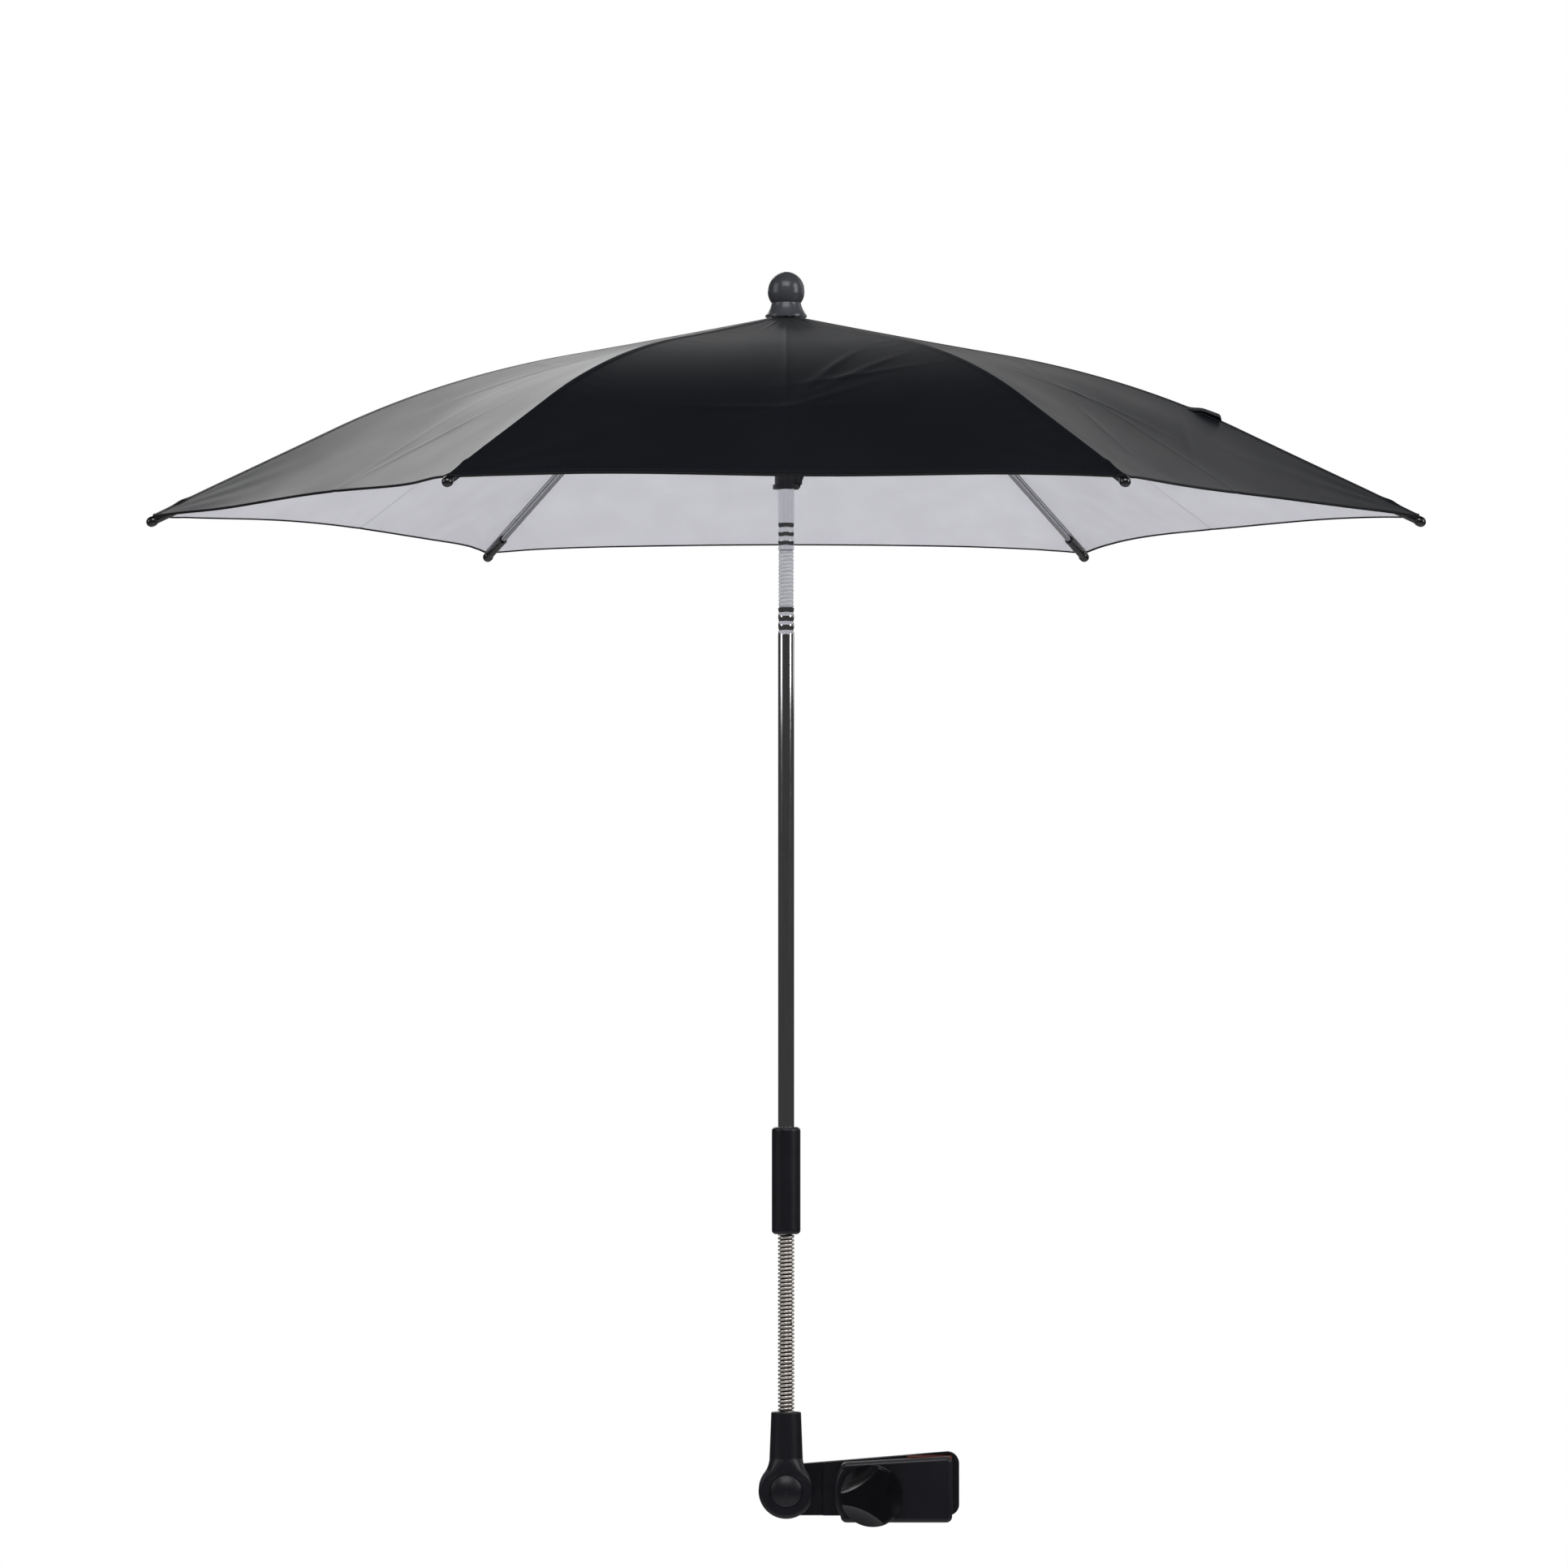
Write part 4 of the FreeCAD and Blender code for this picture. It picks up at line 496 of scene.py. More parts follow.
def cloth_points(sizes, rib, share, fan):
    """Cloth round one rib, from the middle of one gore to the middle of the next. Each ray leaves the shaft
    at an angle fan from the rib and runs from the crown hole to the hem by share. Returns points, seam gap,
    hem gap and distance from the axis."""
    lean = HALF_GORE - np.abs(fan)
    # The cloth over a cap is cut square, so the hem's arc starts beside it.
    square = math.atan(sizes.corner_half / sizes.hem_out)
    bent = np.clip((np.abs(fan) - square) / (HALF_GORE - square), 0, 1) * HALF_GORE
    slope = np.tan(HALF_GORE - bent)
    end = hem_reach(sizes, slope) * np.cos(lean) / np.cos(HALF_GORE - bent)
    begin = sizes.hole * np.cos(lean)
    mid = begin + (end - begin) * share
    across = mid * np.tan(lean)
    signed = np.where(fan < 0, across, -across)
    hem_gap = (end - mid) / np.cos(lean)
    before = gore_relief(sizes, gore_before(rib), mid, signed, hem_gap)
    after = gore_relief(sizes, rib, mid, signed, hem_gap)
    up = gore_height(sizes, mid, across) + np.where(fan < 0, before, after)
    out = np.hypot(mid, across)
    seam_gap = out * np.sin(np.abs(fan))
    return from_rib(rib, out * np.cos(fan), out * np.sin(fan), up), seam_gap, hem_gap, out


def fold_at(piece, width, columns):
    """Marks columns of a grid of that width as folds, so that the cloth beside them keeps its shading."""
    ends = np.empty(2 * len(piece.data.edges), dtype=int)
    piece.data.edges.foreach_get("vertices", ends)
    ends = ends.reshape(-1, 2) % width
    folded = (ends[:, 0] == ends[:, 1]) & np.isin(ends[:, 0], columns)
    piece.data.edges.foreach_set("use_edge_sharp", folded)


def hold_to_rib(piece, rib):
    """The piece hangs on its rib's body, which moves it, and gets its own mesh."""
    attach(piece, f"rib_{rib}")
    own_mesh(piece)
    return piece


def add_thickness(piece, thickness, rim):
    """A wall inward from the mesh, whose inner face takes the next material."""
    wall = piece.modifiers.new("cloth thickness", "SOLIDIFY")
    wall.thickness = thickness
    wall.offset = -1
    wall.use_rim = rim
    wall.material_offset = 1
    wall.material_offset_rim = 0


def add_node(tree, kind, inputs=None, **settings):
    """Adds a node, sets its properties, and gives its sockets a value or a link."""
    made = tree.nodes.new(kind)
    for name, value in settings.items():
        setattr(made, name, value)
    for name, value in (inputs or {}).items():
        if isinstance(value, bpy.types.NodeSocket):
            tree.links.new(value, made.inputs[name])
        else:
            made.inputs[name].default_value = value
    return made


def start_material(name, base, **sockets):
    """A material with one Principled shader, whose constant sockets are set on it."""
    material = bpy.data.materials.new(name)
    material.use_nodes = True
    tree = material.node_tree
    tree.nodes.clear()
    inputs = {"Base Color": (*base, 1)}
    inputs.update({key.replace("_", " "): value for key, value in sockets.items()})
    shader = add_node(tree, "ShaderNodeBsdfPrincipled", inputs)
    add_node(tree, "ShaderNodeOutputMaterial", {"Surface": shader.outputs[0]})
    return material, tree, shader


def shade(base, factor):
    """A colour lightened or darkened by a factor, with alpha."""
    return (*(min(1, channel * factor) for channel in base), 1)


def add_patches(tree, shader, vector, size, detail, tones, roughness=None):
    """Patches of a real size in a finish: noise mixes the colour between two tones, and moves the roughness
    between two values when they are given. Returns the colour's socket."""
    patch = add_node(tree, "ShaderNodeTexNoise", {"Vector": vector, "Scale": 1 / size, "Detail": detail})
    mixed = {0: patch.outputs[0], 6: tones[0], 7: tones[1]}
    tone = add_node(tree, "ShaderNodeMix", mixed, data_type="RGBA")
    tree.links.new(tone.outputs[2], shader.inputs["Base Color"])
    if roughness:
        spread = {0: patch.outputs[0], 3: roughness[0], 4: roughness[1]}
        rough = add_node(tree, "ShaderNodeMapRange", spread)
        tree.links.new(rough.outputs[0], shader.inputs["Roughness"])
    return tone.outputs[2]


def woven_polyester(base):
    # Plain-woven polyester: a soft dark face, greyer at grazing angles, with crossed threads and stitches.
    material, tree, shader = start_material(
        "woven polyester",
        base,
        Roughness=0.45,
        Specular_IOR_Level=0.25,
        Specular_Tint=(*linear("#F9F7FF"), 1),
        Sheen_Weight=0.05,
        Sheen_Roughness=0.4,
    )
    weave = add_node(tree, "ShaderNodeUVMap", uv_map="weave")
    edge = add_node(tree, "ShaderNodeUVMap", uv_map="edge")
    threads = {"Vector": weave.outputs[0], "Scale": WEAVE_SCALE}
    warp = add_node(tree, "ShaderNodeTexWave", threads, bands_direction="X")
    weft = add_node(tree, "ShaderNodeTexWave", threads, bands_direction="Y")
    cross = add_node(tree, "ShaderNodeMath", {0: warp.outputs[1], 1: weft.outputs[1]}, operation="ADD")
    coords = add_node(tree, "ShaderNodeTexCoord")
    # Dye and pressing vary over about 60 mm.
    tones = shade(base, 0.75), shade(base, 1.35)
    tone = add_patches(tree, shader, coords.outputs["Object"], 60 * MM, 5.0, tones, (0.38, 0.5))
    parts = add_node(tree, "ShaderNodeSeparateXYZ", {0: edge.outputs[0]})
    # A stitch row 3.2 mm from the hem, with stitches 2.6 mm long.
    row = add_node(
        tree, "ShaderNodeMath", {0: parts.outputs[1], 1: HEM_ROW, 2: STITCH_HALF}, operation="COMPARE"
    )
    place = add_node(tree, "ShaderNodeMath", {0: parts.outputs[0], 1: STITCH}, operation="MODULO")
    stitch = add_node(tree, "ShaderNodeMath", {0: place.outputs[0], 1: STITCH_SHOWN}, operation="LESS_THAN")
    thread_mark = add_node(
        tree, "ShaderNodeMath", {0: row.outputs[0], 1: stitch.outputs[0]}, operation="MULTIPLY"
    )
    sewn = add_node(
        tree,
        "ShaderNodeMix",
        {0: thread_mark.outputs[0], 6: tone, 7: shade(base, 2.6)},
        data_type="RGBA",
    )
    height = add_node(
        tree,
        "ShaderNodeMath",
        {0: thread_mark.outputs[0], 1: 2.0, 2: cross.outputs[0]},
        operation="MULTIPLY_ADD",
    )
    bump = add_node(
        tree, "ShaderNodeBump", {"Height": height.outputs[0], "Distance": 0.03 * MM, "Strength": 0.15}
    )
    tree.links.new(sewn.outputs[2], shader.inputs["Base Color"])
    tree.links.new(bump.outputs[0], shader.inputs["Normal"])
    return material


def silver_lining(base):
    # Silver-coated polyester: a pale satin inside face with a faint weave and a slightly mottled coat.
    material, tree, shader = start_material(
        "silver-coated lining", base, Roughness=0.55, Specular_IOR_Level=0.4
    )
    weave = add_node(tree, "ShaderNodeUVMap", uv_map="weave")
    threads = {"Vector": weave.outputs[0], "Scale": WEAVE_SCALE}
    warp = add_node(tree, "ShaderNodeTexWave", threads, bands_direction="X")
    coords = add_node(tree, "ShaderNodeTexCoord")
    # The coat is mottled over about 25 mm.
    tones = shade(base, 0.88), shade(base, 1.08)
    add_patches(tree, shader, coords.outputs["Object"], 25 * MM, 6.0, tones)
    bump = add_node(
        tree, "ShaderNodeBump", {"Height": warp.outputs[1], "Distance": 0.04 * MM, "Strength": 0.4}
    )
    tree.links.new(bump.outputs[0], shader.inputs["Normal"])
    return material


def moulded(base, name, roughness, gloss, grain, depth):
    # Injection-moulded plastic or rubber: an even body with a fine eroded grain that softens its highlights.
    material, tree, shader = start_material(name, base, Roughness=roughness, Specular_IOR_Level=gloss)
    coords = add_node(tree, "ShaderNodeTexCoord")
    pits = add_node(
        tree, "ShaderNodeTexNoise", {"Vector": coords.outputs["Object"], "Scale": 1 / grain, "Detail": 3.0}
    )
    # Handling polishes patches of about 15 mm.
    tones = shade(base, 0.8), shade(base, 1.25)
    worn = roughness * 0.85, roughness * 1.15
    add_patches(tree, shader, coords.outputs["Object"], 15 * MM, 4.0, tones, worn)
    bump = add_node(tree, "ShaderNodeBump", {"Height": pits.outputs[0], "Distance": depth, "Strength": 0.6})
    tree.links.new(bump.outputs[0], shader.inputs["Normal"])
    return material


def plated(base, name, roughness, streak):
    # Plated or drawn metal: bright with faint marks along its length that break the reflections a little.
    material, tree, shader = start_material(name, base, Roughness=roughness, Metallic=1.0)
    coords = add_node(tree, "ShaderNodeTexCoord")
    drawn_out = add_node(tree, "ShaderNodeMapping", {0: coords.outputs["Object"], 3: (1, 1, 0.08)})
    tones = shade(base, 0.86), shade(base, 1.08)
    marked = roughness * 0.7, roughness * 1.4
    add_patches(tree, shader, drawn_out.outputs[0], streak, 4.0, tones, marked)
    return material


# Mouldings and coats: common name, roughness, gloss, and the width and depth of the grain.
MOULDINGS = {
    # Tape rolled over the cloth's edge: dull, with a fine tooth.
    "binding": ("polyester binding", 0.6, 0.35, 0.4 * MM, 0.03 * MM),
    # From an eroded tool: matt, with broad soft highlights.
    "moulding": ("moulded ABS", 0.37, 0.45, 0.45 * MM, 0.02 * MM),
    # From a polished tool: dark, with small clear highlights.
    "knob": ("polished ABS", 0.22, 0.24, 0.6 * MM, 0.008 * MM),
    # From a finely blasted tool: an even satin.
    "finial": ("satin ABS", 0.26, 0.5, 0.5 * MM, 0.01 * MM),
    # Pressed rubber: dull and slightly pitted.
    "rubber": ("moulded rubber", 0.7, 0.3, 0.5 * MM, 0.04 * MM),
    # From a polished tool: glossy, with sharp points of light.
    "tip": ("gloss-moulded cap", 0.13, 0.95, 0.6 * MM, 0.004 * MM),
    # Dipped in vinyl: pale, with soft highlights on each turn.
    "sleeve": ("vinyl-coated coil", 0.38, 0.35, 0.5 * MM, 0.01 * MM),
}
# Metals: common name, roughness and the width of the marks.
METALS = {
    # Polished and plated: dark, with bright strips that have clear edges.
    "chrome": ("chromed steel tube", 0.07, 2.0 * MM),
    # Drawn through a die: bright, with a thin line of light.
    "wire": ("bright drawn wire", 0.12, 0.8 * MM),
    # Wound and tumbled: a satin that spreads the light on each turn.
    "coil": ("satin spring steel", 0.3, 0.8 * MM),
}
FABRICS = {"cloth": woven_polyester, "lining": silver_lining}
FINISHES = {}


def finish(name):
    """The material of that name, made on first use from the finish colours."""
    if name not in FINISHES:
        base = getattr(bpy.context.scene.parasol_colours, name)
        if name in MOULDINGS:
            FINISHES[name] = moulded(base, *MOULDINGS[name])
        elif name in METALS:
            FINISHES[name] = plated(base, *METALS[name])
        else:
            FINISHES[name] = FABRICS[name](base)
    return FINISHES[name]


def dress(piece, *names):
    """Gives a piece these finishes, in slot order."""
    piece.data.materials.clear()
    for name in names:
        piece.data.materials.append(finish(name))
    return piece


class PARASOL_OT_canopy(bpy.types.Operator):
    """Sews the lined canopy: one sheet round each rib, meeting down the middle of each gore."""

    bl_idname = "parasol.canopy"
    bl_label = "Canopy cloth"

    def execute(self, context):
        sizes = context.scene.parasol_canopy
        # Points stand closer together towards the hem and towards the rib.
        share = np.linspace(0, 1, CLOTH_GRID[0]) ** 0.9
        wide = np.linspace(-1, 1, CLOTH_GRID[1])
        fan = HALF_GORE * np.sign(wide) * np.abs(wide) ** 1.15
        share, fan = np.meshgrid(share, fan, indexing="ij")
        # Each sheet laps under the next, past the ribs' bend, so that the gores stay closed as they fold.
        out = sizes.hole + (sizes.hem_out - sizes.hole) * share[:, :1]
        wider = 1 - ramp(out, *LAP_NARROWS)
        drop = LEAST_DROP + sizes.lap_drop * wider
        lap = np.minimum((LEAST_LAP + sizes.lap * wider) / out, LAP_LIMIT)
        lap = HALF_GORE + lap * np.array([LAP_COLUMNS])
        fan = np.concatenate([-lap[:, ::-1], fan, lap], axis=1)
        share = np.broadcast_to(share[:, :1], fan.shape)
        faces = grid_faces(*share.shape)[:, ::-1]
        folds = (len(LAP_COLUMNS), fan.shape[1] - 1 - len(LAP_COLUMNS))
        for rib in range(1, RIBS + 1):
            points, seam_gap, hem_gap, out = cloth_points(sizes, rib, share, fan)
            points[..., 2] -= np.where(np.abs(fan) > HALF_GORE + ROUNDING, drop, 0)
            piece = make_piece(f"canopy_cloth_{rib}", points.reshape(-1, 3), faces)
            fold_at(piece, fan.shape[1], folds)
            add_uv(piece, "weave", np.stack([seam_gap.ravel(), out.ravel()], axis=1))
            add_uv(piece, "edge", np.stack([seam_gap.ravel(), hem_gap.ravel()], axis=1))
            dress(piece, "cloth", "lining")
            add_thickness(piece, sizes.cloth_thick, rim=False)
            hold_to_rib(piece, rib)
            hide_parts(f"canopy_panel_{rib}", f"canopy_panel_{gore_before(rib)}")
        return {"FINISHED"}


class PARASOL_OT_seams(bpy.types.Operator):
    """Lays a felled seam along each rib: the cloth's height, plus a band with soft edges, less two rows of
    stitches, plus a bump over each cap's shoulder."""

    bl_idname = "parasol.seams"
    bl_label = "Felled seams"

    def execute(self, context):
        sizes = context.scene.parasol_canopy
        out = np.linspace(sizes.hole + SEAM_START, sizes.hem_out, SEAM_GRID[0])
        aside = np.linspace(-1, 1, SEAM_GRID[1]) * sizes.seam_half
        out, aside = np.meshgrid(out, aside, indexing="ij")
        gap = np.abs(aside)
        level = gore_height(sizes, *from_seam(out, gap))
        edge = ramp(sizes.seam_half - gap, 0, SEAM_EDGE)
        band = SEAM_EDGE_SHARE + (1 - SEAM_EDGE_SHARE) * edge
        # The stitches draw two rows down into the seam.
        row = np.exp(-(((gap - SEAM_ROW) / STITCH_HALF) ** 2))
        draw = 0.5 + 0.5 * np.cos(out / STITCH * 2 * math.pi)
        cap = np.exp(-(((out - sizes.cap_out) / CAP_LENGTH) ** 2)) * np.exp(-((gap / CAP_HALF) ** 2))
        rise = sizes.seam_rise * band - STITCH_DEPTH * row * draw + CAP_RISE * cap
        faces = grid_faces(*out.shape)[:, ::-1]
        for rib in range(1, RIBS + 1):
            points = from_rib(rib, out, aside, level + rise)
            piece = make_piece(f"canopy_seam_{rib}", points.reshape(-1, 3), faces)
            add_uv(piece, "weave", np.stack([aside.ravel(), out.ravel()], axis=1))
            add_uv(piece, "edge", np.stack([out.ravel(), gap.ravel() + OFF_HEM], axis=1))
            dress(piece, "cloth", "lining")
            add_thickness(piece, sizes.seam_thick, rim=True)
            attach(piece, f"rib_{rib}")
        return {"FINISHED"}


class PARASOL_OT_hems(bpy.types.Operator):
    """Rolls the hem of each sheet of the canopy, as a bead along the sheet's edge."""

    bl_idname = "parasol.hems"
    bl_label = "Rolled hems"

    def execute(self, context):
        sizes = context.scene.parasol_canopy
        fan = HALF_GORE * np.linspace(-1, 1, HEM_STEPS)
        share = np.ones_like(fan)
        for rib in range(1, RIBS + 1):
            path, *_ = cloth_points(sizes, rib, share, fan)
            path[:, 2] -= sizes.cloth_thick / 2
            piece = make_tube(f"canopy_hem_{rib}", path, UPWARD, sizes.hem_bead, HEM_SIDES)
            dress(piece, "binding")
            hold_to_rib(piece, rib)
        return {"FINISHED"}


class PARASOL_OT_tie_strap(bpy.types.Operator):
    """Sews the closing strap to the right-hand rib: a band that runs out along the seam and folds back over
    itself."""

    bl_idname = "parasol.tie_strap"
    bl_label = "Tie strap"

    def execute(self, context):
        sizes = context.scene.parasol_canopy
        low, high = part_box("tie_strap")
        begin = low[0] - SHAFT_X
        reach = high[0] - low[0]
        half = (high[1] - low[1]) / 2
        # Side view: out along the cloth, round a half circle at the fold, and back to the seam, where it is
        # stitched flat.
        bend = STRAP_BEND
        flat = np.linspace(0, 1, STRAP_STEPS)
        back = flat[::-1] ** 0.7
        turn = np.linspace(-math.pi / 2, math.pi / 2, STRAP_BEND_STEPS + 2)[1:-1]
        run = np.concatenate([flat, 1 + np.cos(turn) * bend / reach, flat[::-1]]) * reach - bend
        top = 2 * bend * back + STRAP_END_LIFT * (1 - back)
        lift = np.concatenate([0 * flat, bend * (1 + np.sin(turn)), top])
        aside = np.linspace(-1, 1, STRAP_COLUMNS) * half
        run, aside = np.meshgrid(run, aside, indexing="ij")
        out = begin + run
        gap = np.abs(aside)
        level = gore_height(sizes, *from_seam(out, gap)) + sizes.seam_rise + STRAP_ABOVE
        # The stitched end is let into the seam.
        sink = STRAP_SINK * (1 - ramp(run, 0, STRAP_SUNK))
        points = from_rib(1, out, aside, level + lift[:, None] - sink)
        piece = make_piece("closing_strap", points.reshape(-1, 3), grid_faces(*out.shape))
        wall = piece.modifiers.new("band thickness", "SOLIDIFY")
        wall.thickness = STRAP_WALL
        wall.offset = 0
        add_uv(piece, "weave", np.stack([aside.ravel(), run.ravel()], axis=1))
        add_uv(piece, "edge", np.stack([run.ravel(), half - gap.ravel()], axis=1))
        dress(piece, "cloth")
        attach(piece, "rib_1")
        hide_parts("tie_strap")
        return {"FINISHED"}


def neck_part(name, sizes, low, high):
    """Part of the neck between two heights: the wire as a helix, and a black core under its turns, painted
    shade that shows in the gaps between them.
    """
    foot = (SHAFT_X, 0, sizes.neck_start)
    path = helix(foot, UPWARD, (1, 0, 0), sizes.neck_radius, sizes.neck_pitch, sizes.neck_turns)
    path = path[(path[:, 2] >= low) & (path[:, 2] <= high)]
    coil = make_tube(f"{name}_coil", path, UPWARD, sizes.neck_wire, WIRE_SIDES)
    heights = np.linspace(max(low, sizes.neck_start), min(high, path[-1, 2]), NECK_CORE_STEPS)
    # The black core stands for the shade between the tightly wound turns: painted shade.
    shade_core = make_core(f"{name}_filler", heights, sizes.neck_core)
    for piece in (dress(coil, "coil"), dress(shade_core, "moulding")):
        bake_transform(piece)
        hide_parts("neck_spring")


class PARASOL_OT_neck(bpy.types.Operator):
    """Winds the bendable neck in two parts, one for each of its bends."""

    bl_idname = "parasol.neck"
    bl_label = "Bendable neck"

    def execute(self, context):
        sizes = context.scene.parasol_coils
        neck_part("neck_lower", sizes, 0, NECK_MEETS)
        neck_part("neck_upper", sizes, NECK_MEETS, cad_high[2])
        return {"FINISHED"}


class PARASOL_OT_tilt_coil(bpy.types.Operator):
    """Winds the tilt coil and the sleeve inside it."""

    bl_idname = "parasol.tilt_coil"
    bl_label = "Tilt coil"

    def execute(self, context):
        sizes = context.scene.parasol_coils
        foot = (SHAFT_X, 0, sizes.tilt_start)
        path = helix(foot, UPWARD, (1, 0, 0), sizes.tilt_radius, sizes.tilt_pitch, sizes.tilt_turns)
        coil = make_tube("tilt_coil", path, UPWARD, sizes.tilt_wire, WIRE_SIDES)
        below, above = TILT_SLEEVE_ENDS
        heights = np.linspace(path[0, 2] - below, path[-1, 2] + above, TILT_CORE_STEPS)
        sleeve = make_core("tilt_sleeve", heights, sizes.tilt_core)
        for piece in (dress(coil, "sleeve"), dress(sleeve, "sleeve")):
            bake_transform(piece)
            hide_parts("tilt_spring")
        return {"FINISHED"}


class PARASOL_OT_small_springs(bpy.types.Operator):
    """Winds the button's and the catch's springs, which shorten as they are pressed."""

    bl_idname = "parasol.small_springs"
    bl_label = "Small springs"

    def execute(self, context):
        low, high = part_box("button_spring")
        foot = np.array([SHAFT_X, low[1] + BUTTON_START, (low[2] + high[2]) / 2])
        path = helix(foot, (0, 1, 0), (1, 0, 0), **BUTTON_HELIX)
        spring = dress(make_tube("button_coil", path, (0, 1, 0), BUTTON_WIRE, SPRING_SIDES), "coil")
        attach(spring, "clamp")
        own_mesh(spring)
        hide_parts("button_spring")
        low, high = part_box("catch_spring")
        foot = np.array([low[0] + CATCH_START, 0, (low[2] + high[2]) / 2])
        path = helix(foot, (1, 0, 0), (0, 1, 0), **CATCH_HELIX)
        spring = dress(make_tube("catch_coil", path, (1, 0, 0), CATCH_WIRE, SPRING_SIDES), "coil")
        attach(spring, "runner")
        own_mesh(spring)
        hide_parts("catch_spring")
        return {"FINISHED"}


class PARASOL_OT_screw_thread(bpy.types.Operator):
    """Rolls the thread on the part of the clamp screw that shows between the jaws."""

    bl_idname = "parasol.screw_thread"
    bl_label = "Screw thread"

    def execute(self, context):
        sizes = context.scene.parasol_coils
        low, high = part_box("clamp_screw")
        foot = ((low[0] + high[0]) / 2, THREAD_START, (low[2] + high[2]) / 2)
        turns = THREAD_RUN / sizes.thread_pitch
        path = helix(foot, (0, 1, 0), (1, 0, 0), THREAD_RADIUS, sizes.thread_pitch, turns, steps=24)
        thread = dress(make_tube("screw_thread", path, (0, 1, 0), THREAD_RIDGE, THREAD_SIDES), "coil")
        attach(thread, "clamp")
        return {"FINISHED"}


NODE_FINISHES = {
    "moulding": (
        "clamp_back_jaw clamp_front_jaw knuckle_socket knuckle_button lock_gear grip_sleeve tilt_plug_lower "
        "tilt_plug_upper crown runner runner_catch"
    ),
    "knob": "clamp_knob",
    "finial": "finial",
    "rubber": "back_jaw_pad front_jaw_pad",
    "chrome": "lower_tube upper_tube",
    "coil": "clamp_screw knuckle_pin knob_washer knob_nut",
    "wire": "crown_wire runner_wire rib_# stretcher_# rib_joint_#",
    "tip": "tip_#",
}


class PARASOL_OT_finishes(bpy.types.Operator):
    """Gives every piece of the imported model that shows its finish."""

    bl_idname = "parasol.finishes"
    bl_label = "Finishes"

    def execute(self, context):
        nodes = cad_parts
        for name, words in NODE_FINISHES.items():
            for word in words.split():
                numbers = range(1, RIBS + 1) if "#" in word else [0]
                for number in numbers:
                    dress(nodes[word.replace("#", str(number))], name)
        for node in nodes.values():
            if not node.hide_render and not any(node.data.materials):
                raise RuntimeError(f"{node.name} has no finish")
        return {"FINISHED"}


# Each softbox's power, its direction from the canopy's middle, and its width and height in metres.
SOFTBOXES = {
    "softbox left": ("left_power", (-0.94, -0.34, 0.34), (1.2, 1.5)),
    "softbox right": ("right_power", (0.89, -0.4, 0.34), (0.9, 1.5)),
    "softbox far right": ("far_power", (0.8, 0.58, 0.34), (0.9, 1.5)),
    "softbox above": ("top_power", (0, -0.77, 0.64), (1.8, 1.2)),
    "softbox rim": ("rim_power", (-0.27, 0.87, 0.42), (1.0, 1.2)),
    "softbox edge": ("edge_power", (0.27, 0.88, 0.36), (1.0, 1.2)),
}


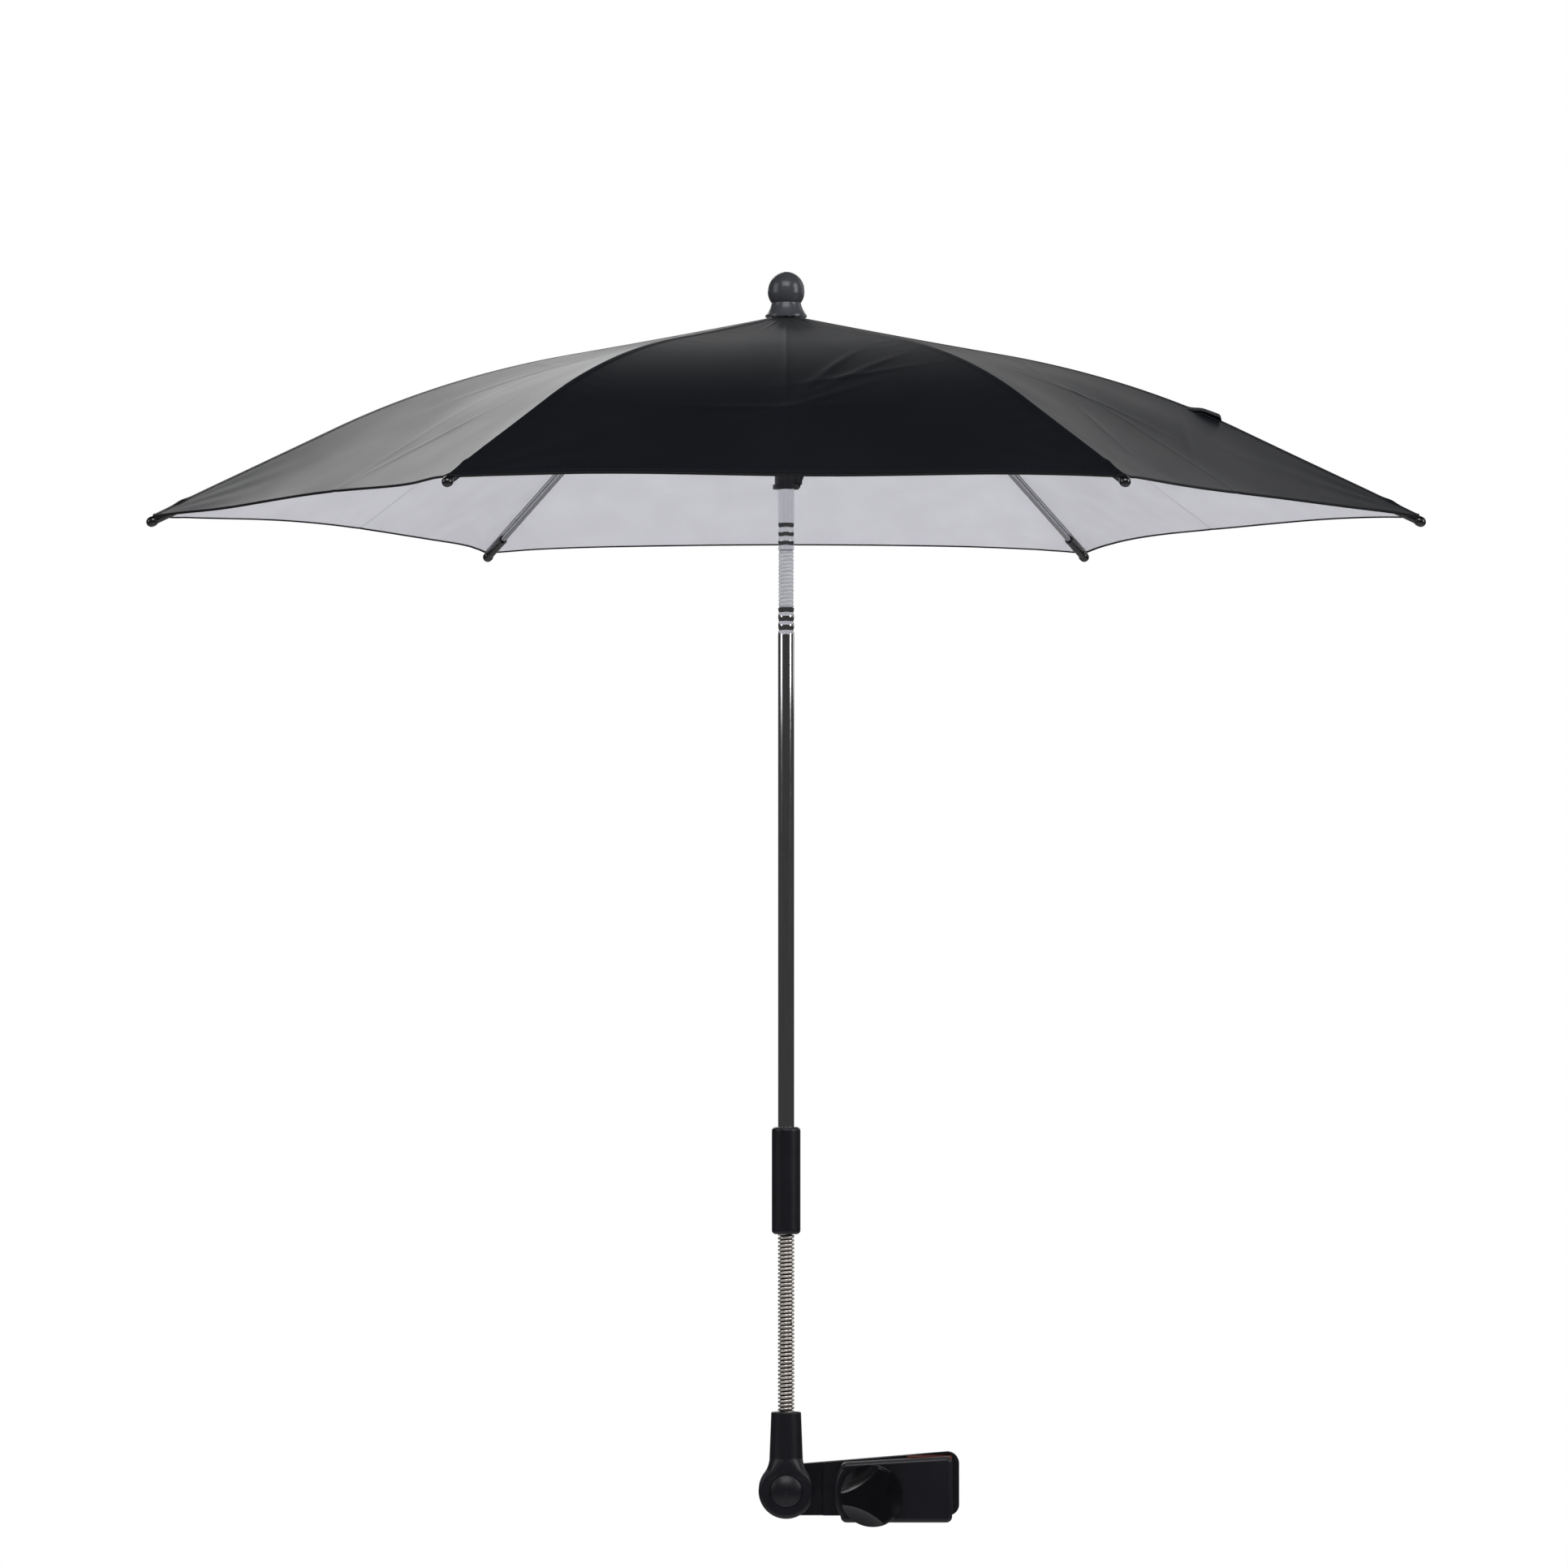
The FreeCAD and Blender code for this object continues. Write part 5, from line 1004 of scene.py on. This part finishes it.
class PARASOL_OT_stage(bpy.types.Operator):
    """Sets the floor, the white surround, the softboxes and the camera."""

    bl_idname = "parasol.stage"
    bl_label = "Studio"

    def execute(self, context):
        scene = context.scene
        sizes = scene.parasol_studio
        scene.view_settings.view_transform = "Standard"
        floor_up = cad_low[2] - sizes.floor_drop
        ring = np.linspace(0, 2 * math.pi, FLOOR_STEPS, endpoint=False)
        across, along = FLOOR_RADIUS * np.cos(ring), FLOOR_RADIUS * np.sin(ring)
        disc = np.stack([SHAFT_X + across, along, np.full(FLOOR_STEPS, floor_up)], axis=1)
        floor = make_piece("studio_floor", disc, np.zeros((0, 4), dtype=int), [np.arange(FLOOR_STEPS)])
        floor.data.materials.append(self.floor_material())
        scene.world = self.surround()
        middle = np.array([SHAFT_X, 0, LIGHTS_AIM_UP])
        for name, (watts, way, spread) in SOFTBOXES.items():
            self.softbox(scene, name, middle, way, spread, getattr(sizes, watts))
        below = np.array([SHAFT_X, -BOUNCE_FORWARD, cad_low[2] - sizes.bounce_drop + SOFTBOX_AWAY])
        bounce = self.softbox(scene, "floor bounce", below, (0, 0, -1), BOUNCE_SPREAD, sizes.bounce_power)
        bounce.visible_glossy = False
        self.camera(scene, sizes)
        return {"FINISHED"}

    def floor_material(self):
        # Matt white paper: pale all over, with a soft shadow. To the camera it fades into the surround.
        material, tree, shader = start_material(
            "white paper", linear("#F4F4F4"), Roughness=0.9, Emission_Color=(1, 1, 1, 1)
        )
        coords = add_node(tree, "ShaderNodeTexCoord")
        fibre = add_node(
            tree, "ShaderNodeTexNoise", {"Vector": coords.outputs["Object"], "Scale": 1 / (4 * MM)}
        )
        bump = add_node(
            tree, "ShaderNodeBump", {"Height": fibre.outputs[0], "Distance": 0.05 * MM, "Strength": 0.2}
        )
        tree.links.new(bump.outputs[0], shader.inputs["Normal"])
        away = add_node(tree, "ShaderNodeVectorMath", {0: coords.outputs["Object"]}, operation="LENGTH")
        fade = add_node(tree, "ShaderNodeMapRange", {0: away.outputs["Value"], **FLOOR_GLOW})
        path = add_node(tree, "ShaderNodeLightPath")
        glow = add_node(
            tree,
            "ShaderNodeMath",
            {0: fade.outputs[0], 1: path.outputs["Is Camera Ray"]},
            operation="MULTIPLY",
        )
        tree.links.new(glow.outputs[0], shader.inputs["Emission Strength"])
        return material

    def surround(self):
        # White to the camera; as light, a bright band behind the object and a dim room in front and above.
        world = bpy.data.worlds.new("studio surround")
        world.use_nodes = True
        tree = world.node_tree
        tree.nodes.clear()
        coords = add_node(tree, "ShaderNodeTexCoord")
        parts = add_node(tree, "ShaderNodeSeparateXYZ", {0: coords.outputs["Generated"]})
        behind = add_node(tree, "ShaderNodeMapRange", {0: parts.outputs[1], **BACK_LIGHT})
        lower = add_node(tree, "ShaderNodeMapRange", {0: parts.outputs[2], **LOW_LIGHT})
        glow = add_node(
            tree, "ShaderNodeMath", {0: behind.outputs[0], 1: lower.outputs[0]}, operation="MULTIPLY"
        )
        path = add_node(tree, "ShaderNodeLightPath")
        strength = add_node(
            tree,
            "ShaderNodeMath",
            {0: glow.outputs[0], 1: path.outputs["Is Camera Ray"]},
            operation="MAXIMUM",
        )
        back = add_node(
            tree, "ShaderNodeBackground", {"Color": (1, 1, 1, 1), "Strength": strength.outputs[0]}
        )
        add_node(tree, "ShaderNodeOutputWorld", {"Surface": back.outputs[0]})
        return world

    def softbox(self, scene, name, aim, way, spread, watts):
        """A soft rectangular light, away from a point along a direction and turned to face it."""
        light = bpy.data.lights.new(name, "AREA")
        light.shape = "RECTANGLE"
        light.size, light.size_y = spread
        light.energy = watts
        lamp = bpy.data.objects.new(name, light)
        way = np.array(way) / np.linalg.norm(way)
        lamp.location = aim + SOFTBOX_AWAY * way
        lean = math.atan2(math.hypot(way[0], way[1]), way[2])
        lamp.rotation_euler = (lean, 0, math.atan2(way[0], -way[1]))
        lamp.visible_camera = False
        scene.collection.objects.link(lamp)
        return lamp

    def camera(self, scene, sizes):
        lens = bpy.data.cameras.new("photograph")
        lens.sensor_width = 36
        lens.lens = sizes.lens
        lens.clip_end = 100
        eye = bpy.data.objects.new("photograph", lens)
        eye.location = (SHAFT_X - sizes.aim_left, -sizes.distance, sizes.eye_up)
        rise = math.atan2(sizes.aim_up - sizes.eye_up, sizes.distance)
        eye.rotation_euler = (math.pi / 2 + rise, 0, 0)
        scene.collection.objects.link(eye)
        scene.camera = eye


class PARASOL_PT_panel(bpy.types.Panel):
    """Lists the parasol's pieces and sizes."""

    bl_idname = "PARASOL_PT_panel"
    bl_label = "Pram parasol"
    bl_space_type = "VIEW_3D"
    bl_region_type = "UI"
    bl_category = "Parasol"

    def draw(self, context):
        for operator in OPERATORS:
            self.layout.operator(operator.bl_idname)
        for name, group in GROUPS.items():
            box = self.layout.box()
            for prop in group.__annotations__:
                box.prop(getattr(context.scene, name), prop)


GROUPS = {
    "parasol_canopy": CanopySizes,
    "parasol_coils": CoilSizes,
    "parasol_colours": FinishColours,
    "parasol_studio": StudioSizes,
}
OPERATORS = (
    PARASOL_OT_canopy,
    PARASOL_OT_seams,
    PARASOL_OT_hems,
    PARASOL_OT_tie_strap,
    PARASOL_OT_neck,
    PARASOL_OT_tilt_coil,
    PARASOL_OT_small_springs,
    PARASOL_OT_screw_thread,
    PARASOL_OT_finishes,
    PARASOL_OT_stage,
)


def register():
    for group in (*GROUPS.values(), *OPERATORS, PARASOL_PT_panel):
        bpy.utils.register_class(group)
    for name, group in GROUPS.items():
        setattr(bpy.types.Scene, name, PointerProperty(type=group))


def unregister():
    for name in GROUPS:
        delattr(bpy.types.Scene, name)
    for group in (PARASOL_PT_panel, *reversed(OPERATORS), *reversed(GROUPS.values())):
        bpy.utils.unregister_class(group)


def main():
    register()
    for operator in OPERATORS:
        group, name = operator.bl_idname.split(".")
        getattr(getattr(bpy.ops, group), name)()


if __name__ == "__main__":
    main()
